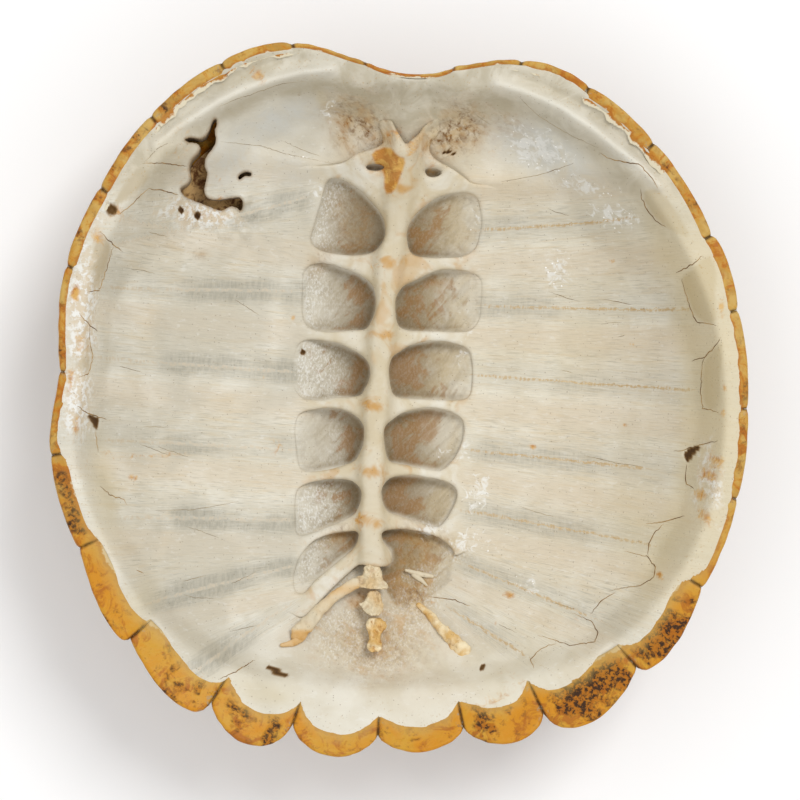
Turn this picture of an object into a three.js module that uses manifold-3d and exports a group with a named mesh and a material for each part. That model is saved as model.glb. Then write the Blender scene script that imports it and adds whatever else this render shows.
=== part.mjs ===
// The upper shell (carapace) of a large snapping turtle, cleaned and dried, lying on its back.
// Millimetres, +Z up, +Y towards the head, +X towards the animal's left side, origin on the surface under
// the middle of the shell. One solid of bone carries the backbone and its rib arches. The horn scutes
// cover its outside, and three loose tail bones and one hip rib lie where the backbone ends.
import * as THREE from "three";
import { mergeVertices } from "three/addons/utils/BufferGeometryUtils.js";
import Module from "manifold-3d";

const wasm = await Module();
wasm.setup();

// Rim: each seam between two marginal scutes has an angle from the head end and a radius, and the scute that
// starts there has an outward lobe, the place of its peak along the scute, and the width that it folds inwards.
const rim = [
  { scute: "right_12", angle: -178.2, radius: 159.3, lobe: 11, peak: 0.5, fold: 11 },
  { scute: "right_11", angle: -163.5, radius: 161.8, lobe: 13, peak: 0.38, fold: 16 },
  { scute: "right_10", angle: -149.7, radius: 168.9, lobe: 8, peak: 0.22, fold: 17 },
  { scute: "right_9", angle: -133.1, radius: 171.0, lobe: 3.5, peak: 0.2, fold: 14 },
  { scute: "right_8", angle: -116.4, radius: 167.8, lobe: 0.8, peak: 0.3, fold: 9 },
  { scute: "right_7", angle: -100.7, radius: 168.0, lobe: 0.5, peak: 0.5, fold: 4 },
  { scute: "right_6", angle: -87.0, radius: 162.8, lobe: 0.8, peak: 0.5, fold: 4 },
  { scute: "right_5", angle: -70.0, radius: 171.8, lobe: 0.5, peak: 0.5, fold: 6 },
  { scute: "right_4", angle: -56.8, radius: 176.0, lobe: 0.5, peak: 0.5, fold: 6 },
  { scute: "right_3", angle: -43.5, radius: 181.5, lobe: 0.5, peak: 0.5, fold: 6 },
  { scute: "right_2", angle: -30.3, radius: 184.0, lobe: 1, peak: 0.5, fold: 5 },
  { scute: "right_1", angle: -19.2, radius: 179.8, lobe: 0.5, peak: 0.5, fold: 2.5 },
  { scute: "nuchal", angle: -8.4, radius: 165.0, lobe: -4.5, peak: 0.55, fold: 2.5 },
  { scute: "left_1", angle: 6.6, radius: 163.7, lobe: 0.5, peak: 0.5, fold: 2.5 },
  { scute: "left_2", angle: 17.1, radius: 174.0, lobe: 1.5, peak: 0.5, fold: 4 },
  { scute: "left_3", angle: 28.4, radius: 176.5, lobe: 0.5, peak: 0.5, fold: 6 },
  { scute: "left_4", angle: 41.8, radius: 173.8, lobe: 0.5, peak: 0.5, fold: 6 },
  { scute: "left_5", angle: 59.2, radius: 168.6, lobe: 2, peak: 0.4, fold: 6 },
  { scute: "left_6", angle: 72.1, radius: 166.3, lobe: 0.5, peak: 0.5, fold: 5 },
  { scute: "left_7", angle: 88.6, radius: 164.8, lobe: 0.5, peak: 0.5, fold: 5 },
  { scute: "left_8", angle: 103.7, radius: 166.2, lobe: 0.5, peak: 0.5, fold: 8 },
  { scute: "left_9", angle: 119.2, radius: 168.2, lobe: 5, peak: 0.74, fold: 14 },
  { scute: "left_10", angle: 136.0, radius: 169.0, lobe: 11, peak: 0.68, fold: 21 },
  { scute: "left_11", angle: 153.1, radius: 163.3, lobe: 9.5, peak: 0.5, fold: 18 },
  { scute: "left_12", angle: 166.9, radius: 158.4, lobe: 8, peak: 0.5, fold: 12 },
];

// Values that differ at the front, the sides and the rear of the shell.
const rimHeight = { front: 72, side: 86, rear: 76 };
const domePower = { front: 2.2, side: 2.7, rear: 2.0 };
const flangeSlope = { front: -0.25, side: 0.05, rear: -0.5 };
const crestInset = { front: 24, side: 12, rear: 22 };
const nuchalCrestInset = 9;
const pitInset = { front: 31, side: 21, rear: 35 };

const midline = -5; // where the animal's midline runs on the outside
const bottomFlat = 0.12; // share of the radius that is flat under the shell
const keelKnob = 2.5; // height of the worn knob on each vertebral scute
const rearFlare = 0.45; // how little the lobes rise beyond the seams
const lipHeight = 5.4; // thickness of the rim at its edge
const hornThickness = 0.9;
const hornGap = 0.65; // between horn and bone at the rim
const sag = 0.2; // extra room under the flat facets of the bone
const skin = hornThickness + hornGap;
const boneThickness = 4.6;
const pitThickness = 3;
const marginalStart = 0.845; // share of the radius where the marginal scutes begin
const flareStart = 0.95; // share of the radius where the edge flares out
const seamGap = 0.45; // half of the groove between two scutes

// Backbone: points along its middle, from the tail end of the fused part to the neck.
const spineHeight = 29; // lowest height of its face
const spineClearance = 12; // it stays this far above the shell where the shell curves up
const spine = [
  { x: -9, y: -76, half: 6.5 },
  { x: -9.6, y: -68, half: 4.5 },
  { x: -10.1, y: -59, half: 6.5 },
  { x: -11, y: -46, half: 4 },
  { x: -11.1, y: -34, half: 6.5 },
  { x: -10.7, y: -18.5, half: 3.8 },
  { x: -10, y: -1, half: 6.5 },
  { x: -9.4, y: 16, half: 3.8 },
  { x: -8.9, y: 33, half: 6.5 },
  { x: -7.4, y: 52, half: 4 },
  { x: -7, y: 70, half: 7 },
  { x: -4.3, y: 90, half: 4.5 },
  { x: -3.4, y: 105, half: 8 },
  { x: -2.5, y: 120, half: 6.5 },
];

// Rib arches: where each one leaves the backbone and where it runs into the shell, on the animal's two sides.
const ribArches = [
  { side: "right", from: [-8, 117], to: [-36, 116], width: 4 },
  { side: "right", from: [-8, 104], to: [-42, 110], width: 9 },
  { side: "right", from: [-9, 70], to: [-50, 70], width: 5.5 },
  { side: "right", from: [-11, 33.5], to: [-52, 32.5], width: 5.5 },
  { side: "right", from: [-12, -1], to: [-53, -2.5], width: 5 },
  { side: "right", from: [-13, -35], to: [-52, -38.5], width: 5 },
  { side: "right", from: [-12, -58.5], to: [-47, -73], width: 5 },
  { side: "right", from: [-11, -71], to: [-44, -104], width: 4.5 },
  { side: "left", from: [2, 119], to: [37, 109.5], width: 4 },
  { side: "left", from: [0, 103], to: [38, 107], width: 9 },
  { side: "left", from: [-3, 70], to: [43, 71], width: 5.5 },
  { side: "left", from: [-6, 33], to: [42, 34.5], width: 5.5 },
  { side: "left", from: [-7, -1], to: [39, 1], width: 5 },
  { side: "left", from: [-8, -33], to: [36, -34.5], width: 5 },
  { side: "left", from: [-7, -57], to: [33, -67], width: 5 },
];

// Damage: the worn hole through the bone above the first costal scute of the right side.
const hole = [
  [-96, 137], [-93.5, 131], [-94, 124], [-98, 116], [-97, 108], [-98, 100], [-94, 96.5], [-81, 97.5],
  [-80, 91], [-88, 92.5], [-98, 93.5], [-102, 92.5], [-111, 100.5], [-106.5, 105], [-107, 111.5],
  [-101, 121], [-110, 125.5], [-101, 128],
];

const radians = THREE.MathUtils.degToRad;
const clamp = THREE.MathUtils.clamp;
const lerp = THREE.MathUtils.lerp;
const softMax = (a, b, width) => (a + b + Math.hypot(a - b, width)) / 2;
const ramp = (x) => softMax(x, 0, 1.5);

// A value that is known at the front, the sides and the rear, at an angle in degrees.
function around(value, angle) {
  const a = radians(angle);
  const ends = (value.front + value.rear) / 2;
  return (ends + value.side) / 2 + ((value.front - value.rear) / 2) * Math.cos(a) + ((ends - value.side) / 2) * Math.cos(2 * a);
}

// The stretch of rim that holds an angle: its two seams and how far along it the angle lies.
function rimStretch(angle) {
  const turn = angle - 360 * Math.floor((angle - rim[0].angle) / 360);
  let i = rim.length - 1;
  while (rim[i].angle > turn) i -= 1;
  const seam = (k) => {
    const n = rim.length;
    return { angle: rim[(k + n) % n].angle + 360 * Math.floor(k / n), radius: rim[(k + n) % n].radius };
  };
  const [before, start, end, after] = [seam(i - 1), seam(i), seam(i + 1), seam(i + 2)];
  const span = end.angle - start.angle;
  return { scute: rim[i], before, start, end, after, span, t: (turn - start.angle) / span };
}

// Radius of the smooth line through the seams.
function seamRadius(angle) {
  const { before, start, end, after, span, t } = rimStretch(angle);
  const startSlope = ((end.radius - before.radius) / (end.angle - before.angle)) * span;
  const endSlope = ((after.radius - start.radius) / (after.angle - start.angle)) * span;
  const t2 = t * t;
  const t3 = t2 * t;
  return (2 * t3 - 3 * t2 + 1) * start.radius + (t3 - 2 * t2 + t) * startSlope +
    (3 * t2 - 2 * t3) * end.radius + (t3 - t2) * endSlope;
}

// Radius of the real edge, with the lobes of the scutes.
function edgeRadius(angle) {
  const { scute, t } = rimStretch(angle);
  const sharpness = 1.6;
  const bump = Math.pow(t / scute.peak, sharpness * scute.peak) *
    Math.pow((1 - t) / (1 - scute.peak), sharpness * (1 - scute.peak));
  return seamRadius(angle) + scute.lobe * bump;
}

const angleOf = (x, y) => THREE.MathUtils.radToDeg(Math.atan2(x, y));
const at = (angle, radius) => [radius * Math.sin(radians(angle)), radius * Math.cos(radians(angle))];

// Height of the outside of the horn, without the knobs.
function outsideHeight(x, y) {
  const angle = angleOf(x, y);
  const share = Math.hypot(x, y) / seamRadius(angle);
  const reach = share <= 1 ? share : 1 + rearFlare * (share - 1);
  const rise = Math.pow(Math.max(0, (reach - bottomFlat) / (1 - bottomFlat)), around(domePower, angle));
  return keelKnob + (around(rimHeight, angle) - keelKnob) * rise;
}

// Unit normal of the outside, pointing down and out of the shell.
function outsideNormal(x, y) {
  const step = 0.5;
  const dx = (outsideHeight(x + step, y) - outsideHeight(x - step, y)) / (2 * step);
  const dy = (outsideHeight(x, y + step) - outsideHeight(x, y - step)) / (2 * step);
  return new THREE.Vector3(dx, dy, -1).normalize();
}

// How much a place belongs to the notch over the neck, from 0 to 1.
function nuchalShare(angle) {
  const turned = angle - 360 * Math.round(angle / 360);
  return Math.exp(-Math.pow(turned / 17, 2));
}

const crestDepth = (angle) => lerp(around(crestInset, angle), nuchalCrestInset, nuchalShare(angle));

// Height of the face of the rim that looks up, from the edge over the crest and down its steep inner wall.
function flangeHeight(x, y) {
  const angle = angleOf(x, y);
  const inset = seamRadius(angle) - Math.hypot(x, y);
  const rear = (1 - Math.cos(radians(angle))) / 2;
  const wall = 2.8 - 1.4 * nuchalShare(angle) - 1.2 * rear * rear * rear;
  return around(rimHeight, angle) + lipHeight + around(flangeSlope, angle) * inset -
    wall * ramp(inset - crestDepth(angle));
}

// Height of the bone's inside: costal plates with their shoulders, the pits along the rim, and the rim itself.
function insideHeight(x, y) {
  const angle = angleOf(x, y);
  const inset = seamRadius(angle) - Math.hypot(x, y);
  const steepness = 1 / -outsideNormal(x, y).z;
  const fingers = 7 * Math.cos(2 * Math.PI * rimStretch(angle).t);
  const inPit = THREE.MathUtils.smoothstep(around(pitInset, angle) - inset - fingers, -3, 3);
  const aside = Math.abs(x - midline - 4);
  const shoulder = 3.5 * Math.exp(-Math.pow((aside - 58) / 20, 2)) * THREE.MathUtils.smoothstep(125 - Math.abs(y), 0, 40);
  const thickness = lerp(boneThickness, pitThickness, inPit) * steepness + shoulder;
  const rimFade = THREE.MathUtils.smoothstep(inset, 0, 12);
  const plate = outsideHeight(x, y) + skin * steepness + lerp(-6, thickness, rimFade);
  return softMax(plate, flangeHeight(x, y) - skin, 1.5);
}

// A triangle mesh from points and faces, turned so that its faces point outwards.
function closedMesh(points, faces) {
  let volume = 0;
  for (const [a, b, c] of faces) volume += points[a].dot(new THREE.Vector3().crossVectors(points[b], points[c]));
  const turned = volume < 0 ? faces.map(([a, b, c]) => [a, c, b]) : faces;
  const geometry = new THREE.BufferGeometry().setFromPoints(points);
  geometry.setIndex(turned.flat());
  return geometry;
}

// A solid lofted through rings that have the same number of points, closed by a fan at each end.
function loft(rings) {
  const count = rings[0].length;
  const points = rings.flat();
  const faces = [];
  for (let i = 0; i + 1 < rings.length; i += 1) {
    for (let j = 0; j < count; j += 1) {
      const [a, b] = [i * count + j, i * count + ((j + 1) % count)];
      faces.push([a, b, b + count], [a, b + count, a + count]);
    }
  }
  for (const [ring, first] of [[rings[0], 0], [rings.at(-1), (rings.length - 1) * count]]) {
    const centre = ring.reduce((sum, p) => sum.add(p), new THREE.Vector3()).divideScalar(count);
    points.push(centre);
    for (let j = 0; j < count; j += 1) {
      const [a, b] = [first + j, first + ((j + 1) % count)];
      faces.push(first === 0 ? [b, a, points.length - 1] : [a, b, points.length - 1]);
    }
  }
  return closedMesh(points, faces);
}

// A curved plate between two grids of points with the same rows and columns.
function plate(outerGrid, innerGrid) {
  const rows = outerGrid.length;
  const columns = outerGrid[0].length;
  const points = [...outerGrid.flat(), ...innerGrid.flat()];
  const inner = rows * columns;
  const faces = [];
  const quad = (a, b, c, d) => faces.push([a, b, c], [a, c, d]);
  for (let i = 0; i + 1 < rows; i += 1) {
    for (let j = 0; j + 1 < columns; j += 1) {
      const a = i * columns + j;
      quad(a, a + 1, a + 1 + columns, a + columns);
      quad(inner + a, inner + a + columns, inner + a + columns + 1, inner + a + 1);
    }
  }
  const border = [];
  for (let j = 0; j + 1 < columns; j += 1) border.push(j);
  for (let i = 0; i + 1 < rows; i += 1) border.push(i * columns + columns - 1);
  for (let j = columns - 1; j > 0; j -= 1) border.push((rows - 1) * columns + j);
  for (let i = rows - 1; i > 0; i -= 1) border.push(i * columns);
  border.forEach((a, k) => {
    const b = border[(k + 1) % border.length];
    quad(b, a, inner + a, inner + b);
  });
  return closedMesh(points, faces);
}

const toSolid = (geometry) => {
  const bare = geometry.index ? geometry.clone() : mergeVertices(geometry);
  return new wasm.Manifold(new wasm.Mesh({
    numProp: 3,
    vertProperties: new Float32Array(bare.getAttribute("position").array),
    triVerts: new Uint32Array(bare.index.array),
  }));
};

function fromSolid(solid) {
  const { vertProperties, triVerts } = solid.getMesh();
  const geometry = new THREE.BufferGeometry();
  geometry.setAttribute("position", new THREE.BufferAttribute(vertProperties, 3));
  geometry.setIndex(new THREE.BufferAttribute(triVerts, 1));
  return geometry;
}

// Bone dish: one closed section at each angle, from the middle of the inside, over the rim, to the middle below.
function boneDish() {
  const alongScute = [0, 1 / 3, 2 / 3];
  const innerShares = [0.08, 0.2, 0.32, 0.44, 0.56, 0.67];
  const outerShares = [flareStart, 0.8, 0.64, 0.46, 0.26];
  const angles = rim.flatMap((seam, i) => {
    const next = i + 1 < rim.length ? rim[i + 1].angle : rim[0].angle + 360;
    return alongScute.map((t) => lerp(seam.angle, next, t));
  });
  const below = (angle, radius, room = sag) => {
    const [x, y] = at(angle, radius);
    return new THREE.Vector3(x, y, outsideHeight(x, y)).addScaledVector(outsideNormal(x, y), -skin - room);
  };
  const above = (angle, radius) => {
    const [x, y] = at(angle, radius);
    return new THREE.Vector3(x, y, insideHeight(x, y));
  };
  const sections = angles.map((angle) => {
    const seam = seamRadius(angle);
    const edge = Math.min(edgeRadius(angle), lerp(seam, edgeRadius(angle), 0.75)) - skin - 0.8;
    const [x, y] = at(angle, edge);
    const edgeMiddle = new THREE.Vector3(x, y, (outsideHeight(x, y) + flangeHeight(x, y)) / 2);
    return [
      ...innerShares.map((share) => above(angle, share * seam)),
      above(angle, seam - around(pitInset, angle) - 7),
      above(angle, seam - around(pitInset, angle) + 1),
      above(angle, seam - crestDepth(angle) - 5),
      above(angle, seam - crestDepth(angle) + 1),
      above(angle, (seam - crestDepth(angle)) * 0.5 + edge * 0.5),
      above(angle, edge - 2),
      edgeMiddle,
      below(angle, edge - 1.2, 0.2),
      ...outerShares.map((share) => below(angle, share * seam)),
    ];
  });
  const count = sections[0].length;
  const points = [...sections.flat(), new THREE.Vector3(0, 0, insideHeight(0, 0)), below(0, 0.001)];
  const [top, bottom] = [points.length - 2, points.length - 1];
  const faces = [];
  sections.forEach((_, i) => {
    const a = i * count;
    const b = ((i + 1) % sections.length) * count;
    faces.push([top, a, b], [bottom, b + count - 1, a + count - 1]);
    for (let j = 0; j + 1 < count; j += 1) {
      faces.push([a + j, a + j + 1, b + j + 1], [a + j, b + j + 1, b + j]);
    }
  });
  return closedMesh(points, faces);
}

// Height of the face of the backbone.
const spineTop = (y) => softMax(spineHeight, insideHeight(midline, y) + spineClearance, 5);

// Backbone: rounded bodies on a thin wall that stands on the shell.
function backbone() {
  const wallHalf = 2;
  const rings = spine.map(({ x, y, half }) => {
    const floor = insideHeight(x, y) - 2;
    const top = spineTop(y);
    const outline = [
      [-wallHalf, floor], [-wallHalf, top - 10], [-half, top - 6], [-half, top - 3], [-half * 0.5, top],
      [half * 0.5, top], [half, top - 3], [half, top - 6], [wallHalf, top - 10], [wallHalf, floor],
    ];
    return outline.map(([across, z]) => new THREE.Vector3(x + across, y, z));
  });
  return loft(rings);
}

// A bone rod along points with a half width and half height at each, as a six-sided loft.
function rod(stations) {
  const sides = 6;
  const rings = stations.map(({ point, wide, high }, i) => {
    const before = stations[Math.max(0, i - 1)].point;
    const after = stations[Math.min(stations.length - 1, i + 1)].point;
    const along = new THREE.Vector3().subVectors(after, before).normalize();
    const across = new THREE.Vector3().crossVectors(along, new THREE.Vector3(0, 0, 1)).normalize();
    const up = new THREE.Vector3().crossVectors(across, along).normalize();
    return Array.from({ length: sides }, (_, k) => {
      const turn = radians((360 / sides) * (k + 0.5));
      return point.clone().addScaledVector(across, wide * Math.cos(turn)).addScaledVector(up, high * Math.sin(turn));
    });
  });
  return loft(rings);
}

// Rib arch: a flat strut that leaves the backbone, flares at both ends and sinks into the costal plate.
function ribArch({ from, to, width }) {
  const start = spineTop(from[1]) - 4.5;
  const landing = insideHeight(to[0], to[1]) - 0.6;
  const shape = [[0, 1.5], [0.22, 1], [0.6, 0.95], [1, 1.9]];
  return rod(shape.map(([t, flare]) => {
    const z = lerp(start, landing, Math.pow(t, 1.6));
    const point = new THREE.Vector3(lerp(from[0], to[0], t), lerp(from[1], to[1], t), z);
    return { point, wide: (width / 2) * flare, high: 2 };
  }));
}

// Prongs of the first vertebra, where the neck was joined.
function neckProngs() {
  const prong = (from, to) => {
    const start = new THREE.Vector3(...from, spineTop(from[1]) - 5);
    const tip = new THREE.Vector3(...to, insideHeight(...to) + 3);
    return rod([
      { point: start, wide: 3.5, high: 4 },
      { point: start.clone().lerp(tip, 0.55), wide: 2.4, high: 2.6 },
      { point: tip, wide: 3.4, high: 1.6 },
    ]);
  };
  return [prong([-3, 116], [-10, 136]), prong([-1, 116], [11, 137])];
}

// Ridge that is left of the hip rib on the left side.
function hipRidge() {
  const ends = [[19, -98], [29, -111], [38, -121]];
  return rod(ends.map(([x, y], i) => ({
    point: new THREE.Vector3(x, y, insideHeight(x, y) + 0.5),
    wide: 2.2 + i,
    high: 3.2 - 0.5 * i,
  })));
}

function holeCutter() {
  const outline = new THREE.Shape(hole.map(([x, y]) => new THREE.Vector2(x, y)));
  const bare = new THREE.ExtrudeGeometry(outline, { depth: 90, bevelEnabled: false });
  bare.deleteAttribute("normal");
  bare.deleteAttribute("uv");
  return mergeVertices(bare, 1e-4);
}

function carapaceBone() {
  let bone = toSolid(boneDish());
  const added = [backbone(), ...ribArches.map(ribArch), ...neckProngs(), hipRidge()];
  for (const piece of added) bone = bone.add(toSolid(piece));
  return fromSolid(bone.subtract(toSolid(holeCutter())));
}

// A horn plate over the bone: place(s, t) gives each point of the plan, and knob(x, y) how far it stands out.
function hornPlate(rows, columns, place, knob = () => 0) {
  const outer = [];
  const inner = [];
  for (let i = 0; i <= rows; i += 1) {
    const outerRow = [];
    const innerRow = [];
    for (let j = 0; j <= columns; j += 1) {
      const [x, y] = place(j / columns, i / rows);
      const base = new THREE.Vector3(x, y, outsideHeight(x, y));
      const raised = base.clone();
      raised.z -= knob(x, y);
      outerRow.push(raised);
      innerRow.push(base.clone().addScaledVector(outsideNormal(x, y), -hornThickness));
    }
    outer.push(outerRow);
    inner.push(innerRow);
  }
  return plate(outer, inner);
}

// Scutes along the back. Each row of the table is a seam, and "wide" is half the width between two seams.
const vertebrals = [
  { front: 139, back: 88, halfFront: 33, halfMiddle: 47, halfBack: 31 },
  { front: 88, back: 30, halfFront: 31, halfMiddle: 43, halfBack: 31 },
  { front: 30, back: -28, halfFront: 31, halfMiddle: 45, halfBack: 31 },
  { front: -28, back: -84, halfFront: 31, halfMiddle: 42, halfBack: 25 },
  { front: -84, back: -136, halfFront: 25, halfMiddle: 40, halfBack: 43 },
];
const knobRadius = { across: 30, along: 21 };

// How far a vertebral scute stands out round the worn knob at its middle.
function knobAt(centreY) {
  return (x, y) => {
    const away = Math.hypot((x - midline) / knobRadius.across, (y - centreY) / knobRadius.along);
    return keelKnob * (1 - THREE.MathUtils.smoothstep(away, 0.75, 1.4));
  };
}

// Keeps a point of a scute inside the ring of marginal scutes.
function insideRing(x, y) {
  const angle = angleOf(x, y);
  const limit = marginalStart * seamRadius(angle) - seamGap;
  const radius = Math.hypot(x, y);
  return radius > limit ? at(angle, limit) : [x, y];
}

function vertebralScute({ front, back, halfFront, halfMiddle, halfBack }) {
  const centre = (front + back) / 2;
  const place = (s, t) => {
    const y = lerp(front - seamGap, back + seamGap, t);
    const half = (t < 0.5 ? lerp(halfFront, halfMiddle, 2 * t) : lerp(halfMiddle, halfBack, 2 * t - 1)) - seamGap;
    return insideRing(midline + half * (2 * s - 1), y);
  };
  const restsOnIt = Math.abs(centre) < 5;
  return hornPlate(restsOnIt ? 6 : 4, 6, place, knobAt(centre));
}

// Angles on the ring of marginal scutes where the costal scutes begin and end, on both sides.
const costalAngles = { right: [-21, -59, -88, -118, -157], left: [18, 57, 89, 119, 160] };

function costalScute(side, index) {
  const sign = side === "left" ? 1 : -1;
  const first = vertebrals[index];
  const second = vertebrals[index + 1];
  const middle = ({ front, back }) => (front + back) / 2;
  const kinks = [
    [midline + sign * first.halfMiddle, middle(first)],
    [midline + sign * first.halfBack, first.back],
    [midline + sign * second.halfMiddle, middle(second)],
  ];
  const [startAngle, endAngle] = [costalAngles[side][index], costalAngles[side][index + 1]];
  const inset = 0.012;
  const place = (s, t) => {
    const along = lerp(inset, 1 - inset, t);
    const [a, b, share] = along < 0.5 ? [kinks[0], kinks[1], 2 * along] : [kinks[1], kinks[2], 2 * along - 1];
    const outer = at(lerp(startAngle, endAngle, along), marginalStart * seamRadius(lerp(startAngle, endAngle, along)) - seamGap);
    const across = lerp(inset, 1, s);
    return insideRing(lerp(lerp(a[0], b[0], share), outer[0], across), lerp(lerp(a[1], b[1], share), outer[1], across));
  };
  return hornPlate(5, 5, place);
}

// A marginal scute: it starts on the outside, runs round the rim and folds onto the face that looks up.
function marginalScute(index) {
  const { angle: startAngle, fold } = rim[index];
  const endAngle = index + 1 < rim.length ? rim[index + 1].angle : rim[0].angle + 360;
  const rows = 3;
  const outer = [];
  const inner = [];
  for (let i = 0; i <= rows; i += 1) {
    const raw = lerp(startAngle, endAngle, i / rows);
    const slack = THREE.MathUtils.radToDeg(seamGap / seamRadius(raw));
    const angle = clamp(raw, startAngle + slack, endAngle - slack);
    const seam = seamRadius(angle);
    const edge = edgeRadius(angle);
    const flat = new THREE.Vector3(Math.sin(radians(angle)), Math.cos(radians(angle)), 0);
    const start = marginalStart * seam + seamGap;
    const outside = [start, flareStart * seam, edge - 1.2].map((radius) => {
      const [x, y] = at(angle, radius);
      return { point: new THREE.Vector3(x, y, outsideHeight(x, y)), normal: outsideNormal(x, y) };
    });
    const [edgeX, edgeY] = at(angle, edge);
    const lipMiddle = (outsideHeight(edgeX, edgeY) + flangeHeight(edgeX, edgeY)) / 2;
    const lip = { point: new THREE.Vector3(edgeX, edgeY, lipMiddle), normal: flat };
    const foldEnd = Math.max(edge - fold, seam - crestDepth(angle) + 2.5);
    const folded = [edge - 1.6, Math.min(foldEnd, edge - 3)].map((radius) => {
      const [x, y] = at(angle, radius);
      return { point: new THREE.Vector3(x, y, flangeHeight(x, y)), normal: new THREE.Vector3(0, 0, 1) };
    });
    const section = [...outside, lip, ...folded];
    outer.push(section.map(({ point }) => point));
    inner.push(section.map(({ point, normal }) => point.clone().addScaledVector(normal, -hornThickness)));
  }
  return plate(outer, inner);
}

// A loose vertebra: a waisted body on a short wall that stands just clear of the shell, and side processes.
const restGap = 0.8;
function looseVertebra({ x, front, back, half, tall, processes }) {
  const wallHalf = 1.6;
  const stations = [[0, 1], [0.3, 0.75], [0.7, 0.75], [1, 1]];
  const rings = stations.map(([t, waist]) => {
    const y = lerp(front, back, t);
    const wide = half * waist;
    const foot = insideHeight(x, y) + restGap;
    const outline = [
      [-wallHalf, 0], [-wallHalf, tall * 0.4], [-wide, tall * 0.65], [-wide * 0.5, tall], [wide * 0.5, tall],
      [wide, tall * 0.65], [wallHalf, tall * 0.4], [wallHalf, 0],
    ];
    return outline.map(([across, z]) => new THREE.Vector3(x + across, y, foot + z));
  });
  let body = toSolid(loft(rings));
  for (const [dx, dy] of processes) {
    const y = (front + back) / 2;
    const start = new THREE.Vector3(x, y, insideHeight(x, y) + tall * 0.65);
    const tip = start.clone().add(new THREE.Vector3(dx, dy, -0.55 * dy));
    body = body.add(toSolid(rod([
      { point: start, wide: 2.4, high: 2 },
      { point: tip, wide: 1.1, high: 1 },
    ])));
  }
  return fromSolid(body);
}

const looseBones = {
  sacral_vertebra_1: { x: -7.6, front: -79, back: -91, half: 5.5, tall: 12.5, processes: [[9, 1], [-7.5, -1]] },
  sacral_vertebra_2: { x: -6.8, front: -91.8, back: -104, half: 5, tall: 11.5, processes: [[-9, 2]] },
  tail_vertebra: { x: -5.8, front: -104.8, back: -121, half: 4.8, tall: 11, processes: [] },
};

function hipRib() {
  const path = [[-18, -88], [-27, -97], [-39, -110], [-48, -121.5]];
  return rod(path.map(([x, y], i) => ({
    point: new THREE.Vector3(x, y, insideHeight(x, y) + [9, 5, 4, 4][i]),
    wide: [3.2, 2.4, 2.6, 3][i],
    high: 2,
  })));
}

const bone = new THREE.MeshStandardMaterial({ color: 0xe2ddcb, roughness: 0.75, metalness: 0 });
const ochreBone = new THREE.MeshStandardMaterial({ color: 0xd9b878, roughness: 0.7, metalness: 0 });
const amberHorn = new THREE.MeshStandardMaterial({ color: 0xb9822f, roughness: 0.45, metalness: 0 });
const darkHorn = new THREE.MeshStandardMaterial({ color: 0x6b5232, roughness: 0.55, metalness: 0 });

const shell = new THREE.Group();
function addPiece(name, geometry, material) {
  const piece = new THREE.Mesh(geometry, material);
  piece.name = name;
  shell.add(piece);
}

addPiece("carapace_bone", carapaceBone(), bone);
rim.forEach(({ scute }, i) => {
  addPiece(scute === "nuchal" ? "nuchal_scute" : `marginal_scute_${scute}`, marginalScute(i), amberHorn);
});
vertebrals.forEach((seams, i) => addPiece(`vertebral_scute_${i + 1}`, vertebralScute(seams), darkHorn));
for (const side of ["left", "right"]) {
  for (let i = 0; i < 4; i += 1) addPiece(`costal_scute_${side}_${i + 1}`, costalScute(side, i), darkHorn);
}
for (const [name, form] of Object.entries(looseBones)) addPiece(name, looseVertebra(form), ochreBone);
addPiece("sacral_rib_right", hipRib(), ochreBone);

export default shell;
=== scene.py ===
import math

import bpy
import numpy as np
from mathutils import Matrix, Vector


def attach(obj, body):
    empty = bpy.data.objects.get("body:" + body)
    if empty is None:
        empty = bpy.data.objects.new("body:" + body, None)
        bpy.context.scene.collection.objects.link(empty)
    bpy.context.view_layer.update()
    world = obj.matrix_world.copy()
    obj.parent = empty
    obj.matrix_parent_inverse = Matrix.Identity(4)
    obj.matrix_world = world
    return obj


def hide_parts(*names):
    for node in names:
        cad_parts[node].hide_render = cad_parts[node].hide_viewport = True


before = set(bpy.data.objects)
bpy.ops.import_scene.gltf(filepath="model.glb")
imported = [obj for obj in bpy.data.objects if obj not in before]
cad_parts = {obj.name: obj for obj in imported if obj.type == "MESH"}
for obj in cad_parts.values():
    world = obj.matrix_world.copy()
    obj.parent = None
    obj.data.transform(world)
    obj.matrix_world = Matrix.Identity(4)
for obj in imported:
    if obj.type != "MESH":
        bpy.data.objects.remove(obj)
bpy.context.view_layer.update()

# Everything below is in millimetres until a mesh is made.
millimetre = 0.001

widerCells = 1
fewerRows = 1

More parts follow.
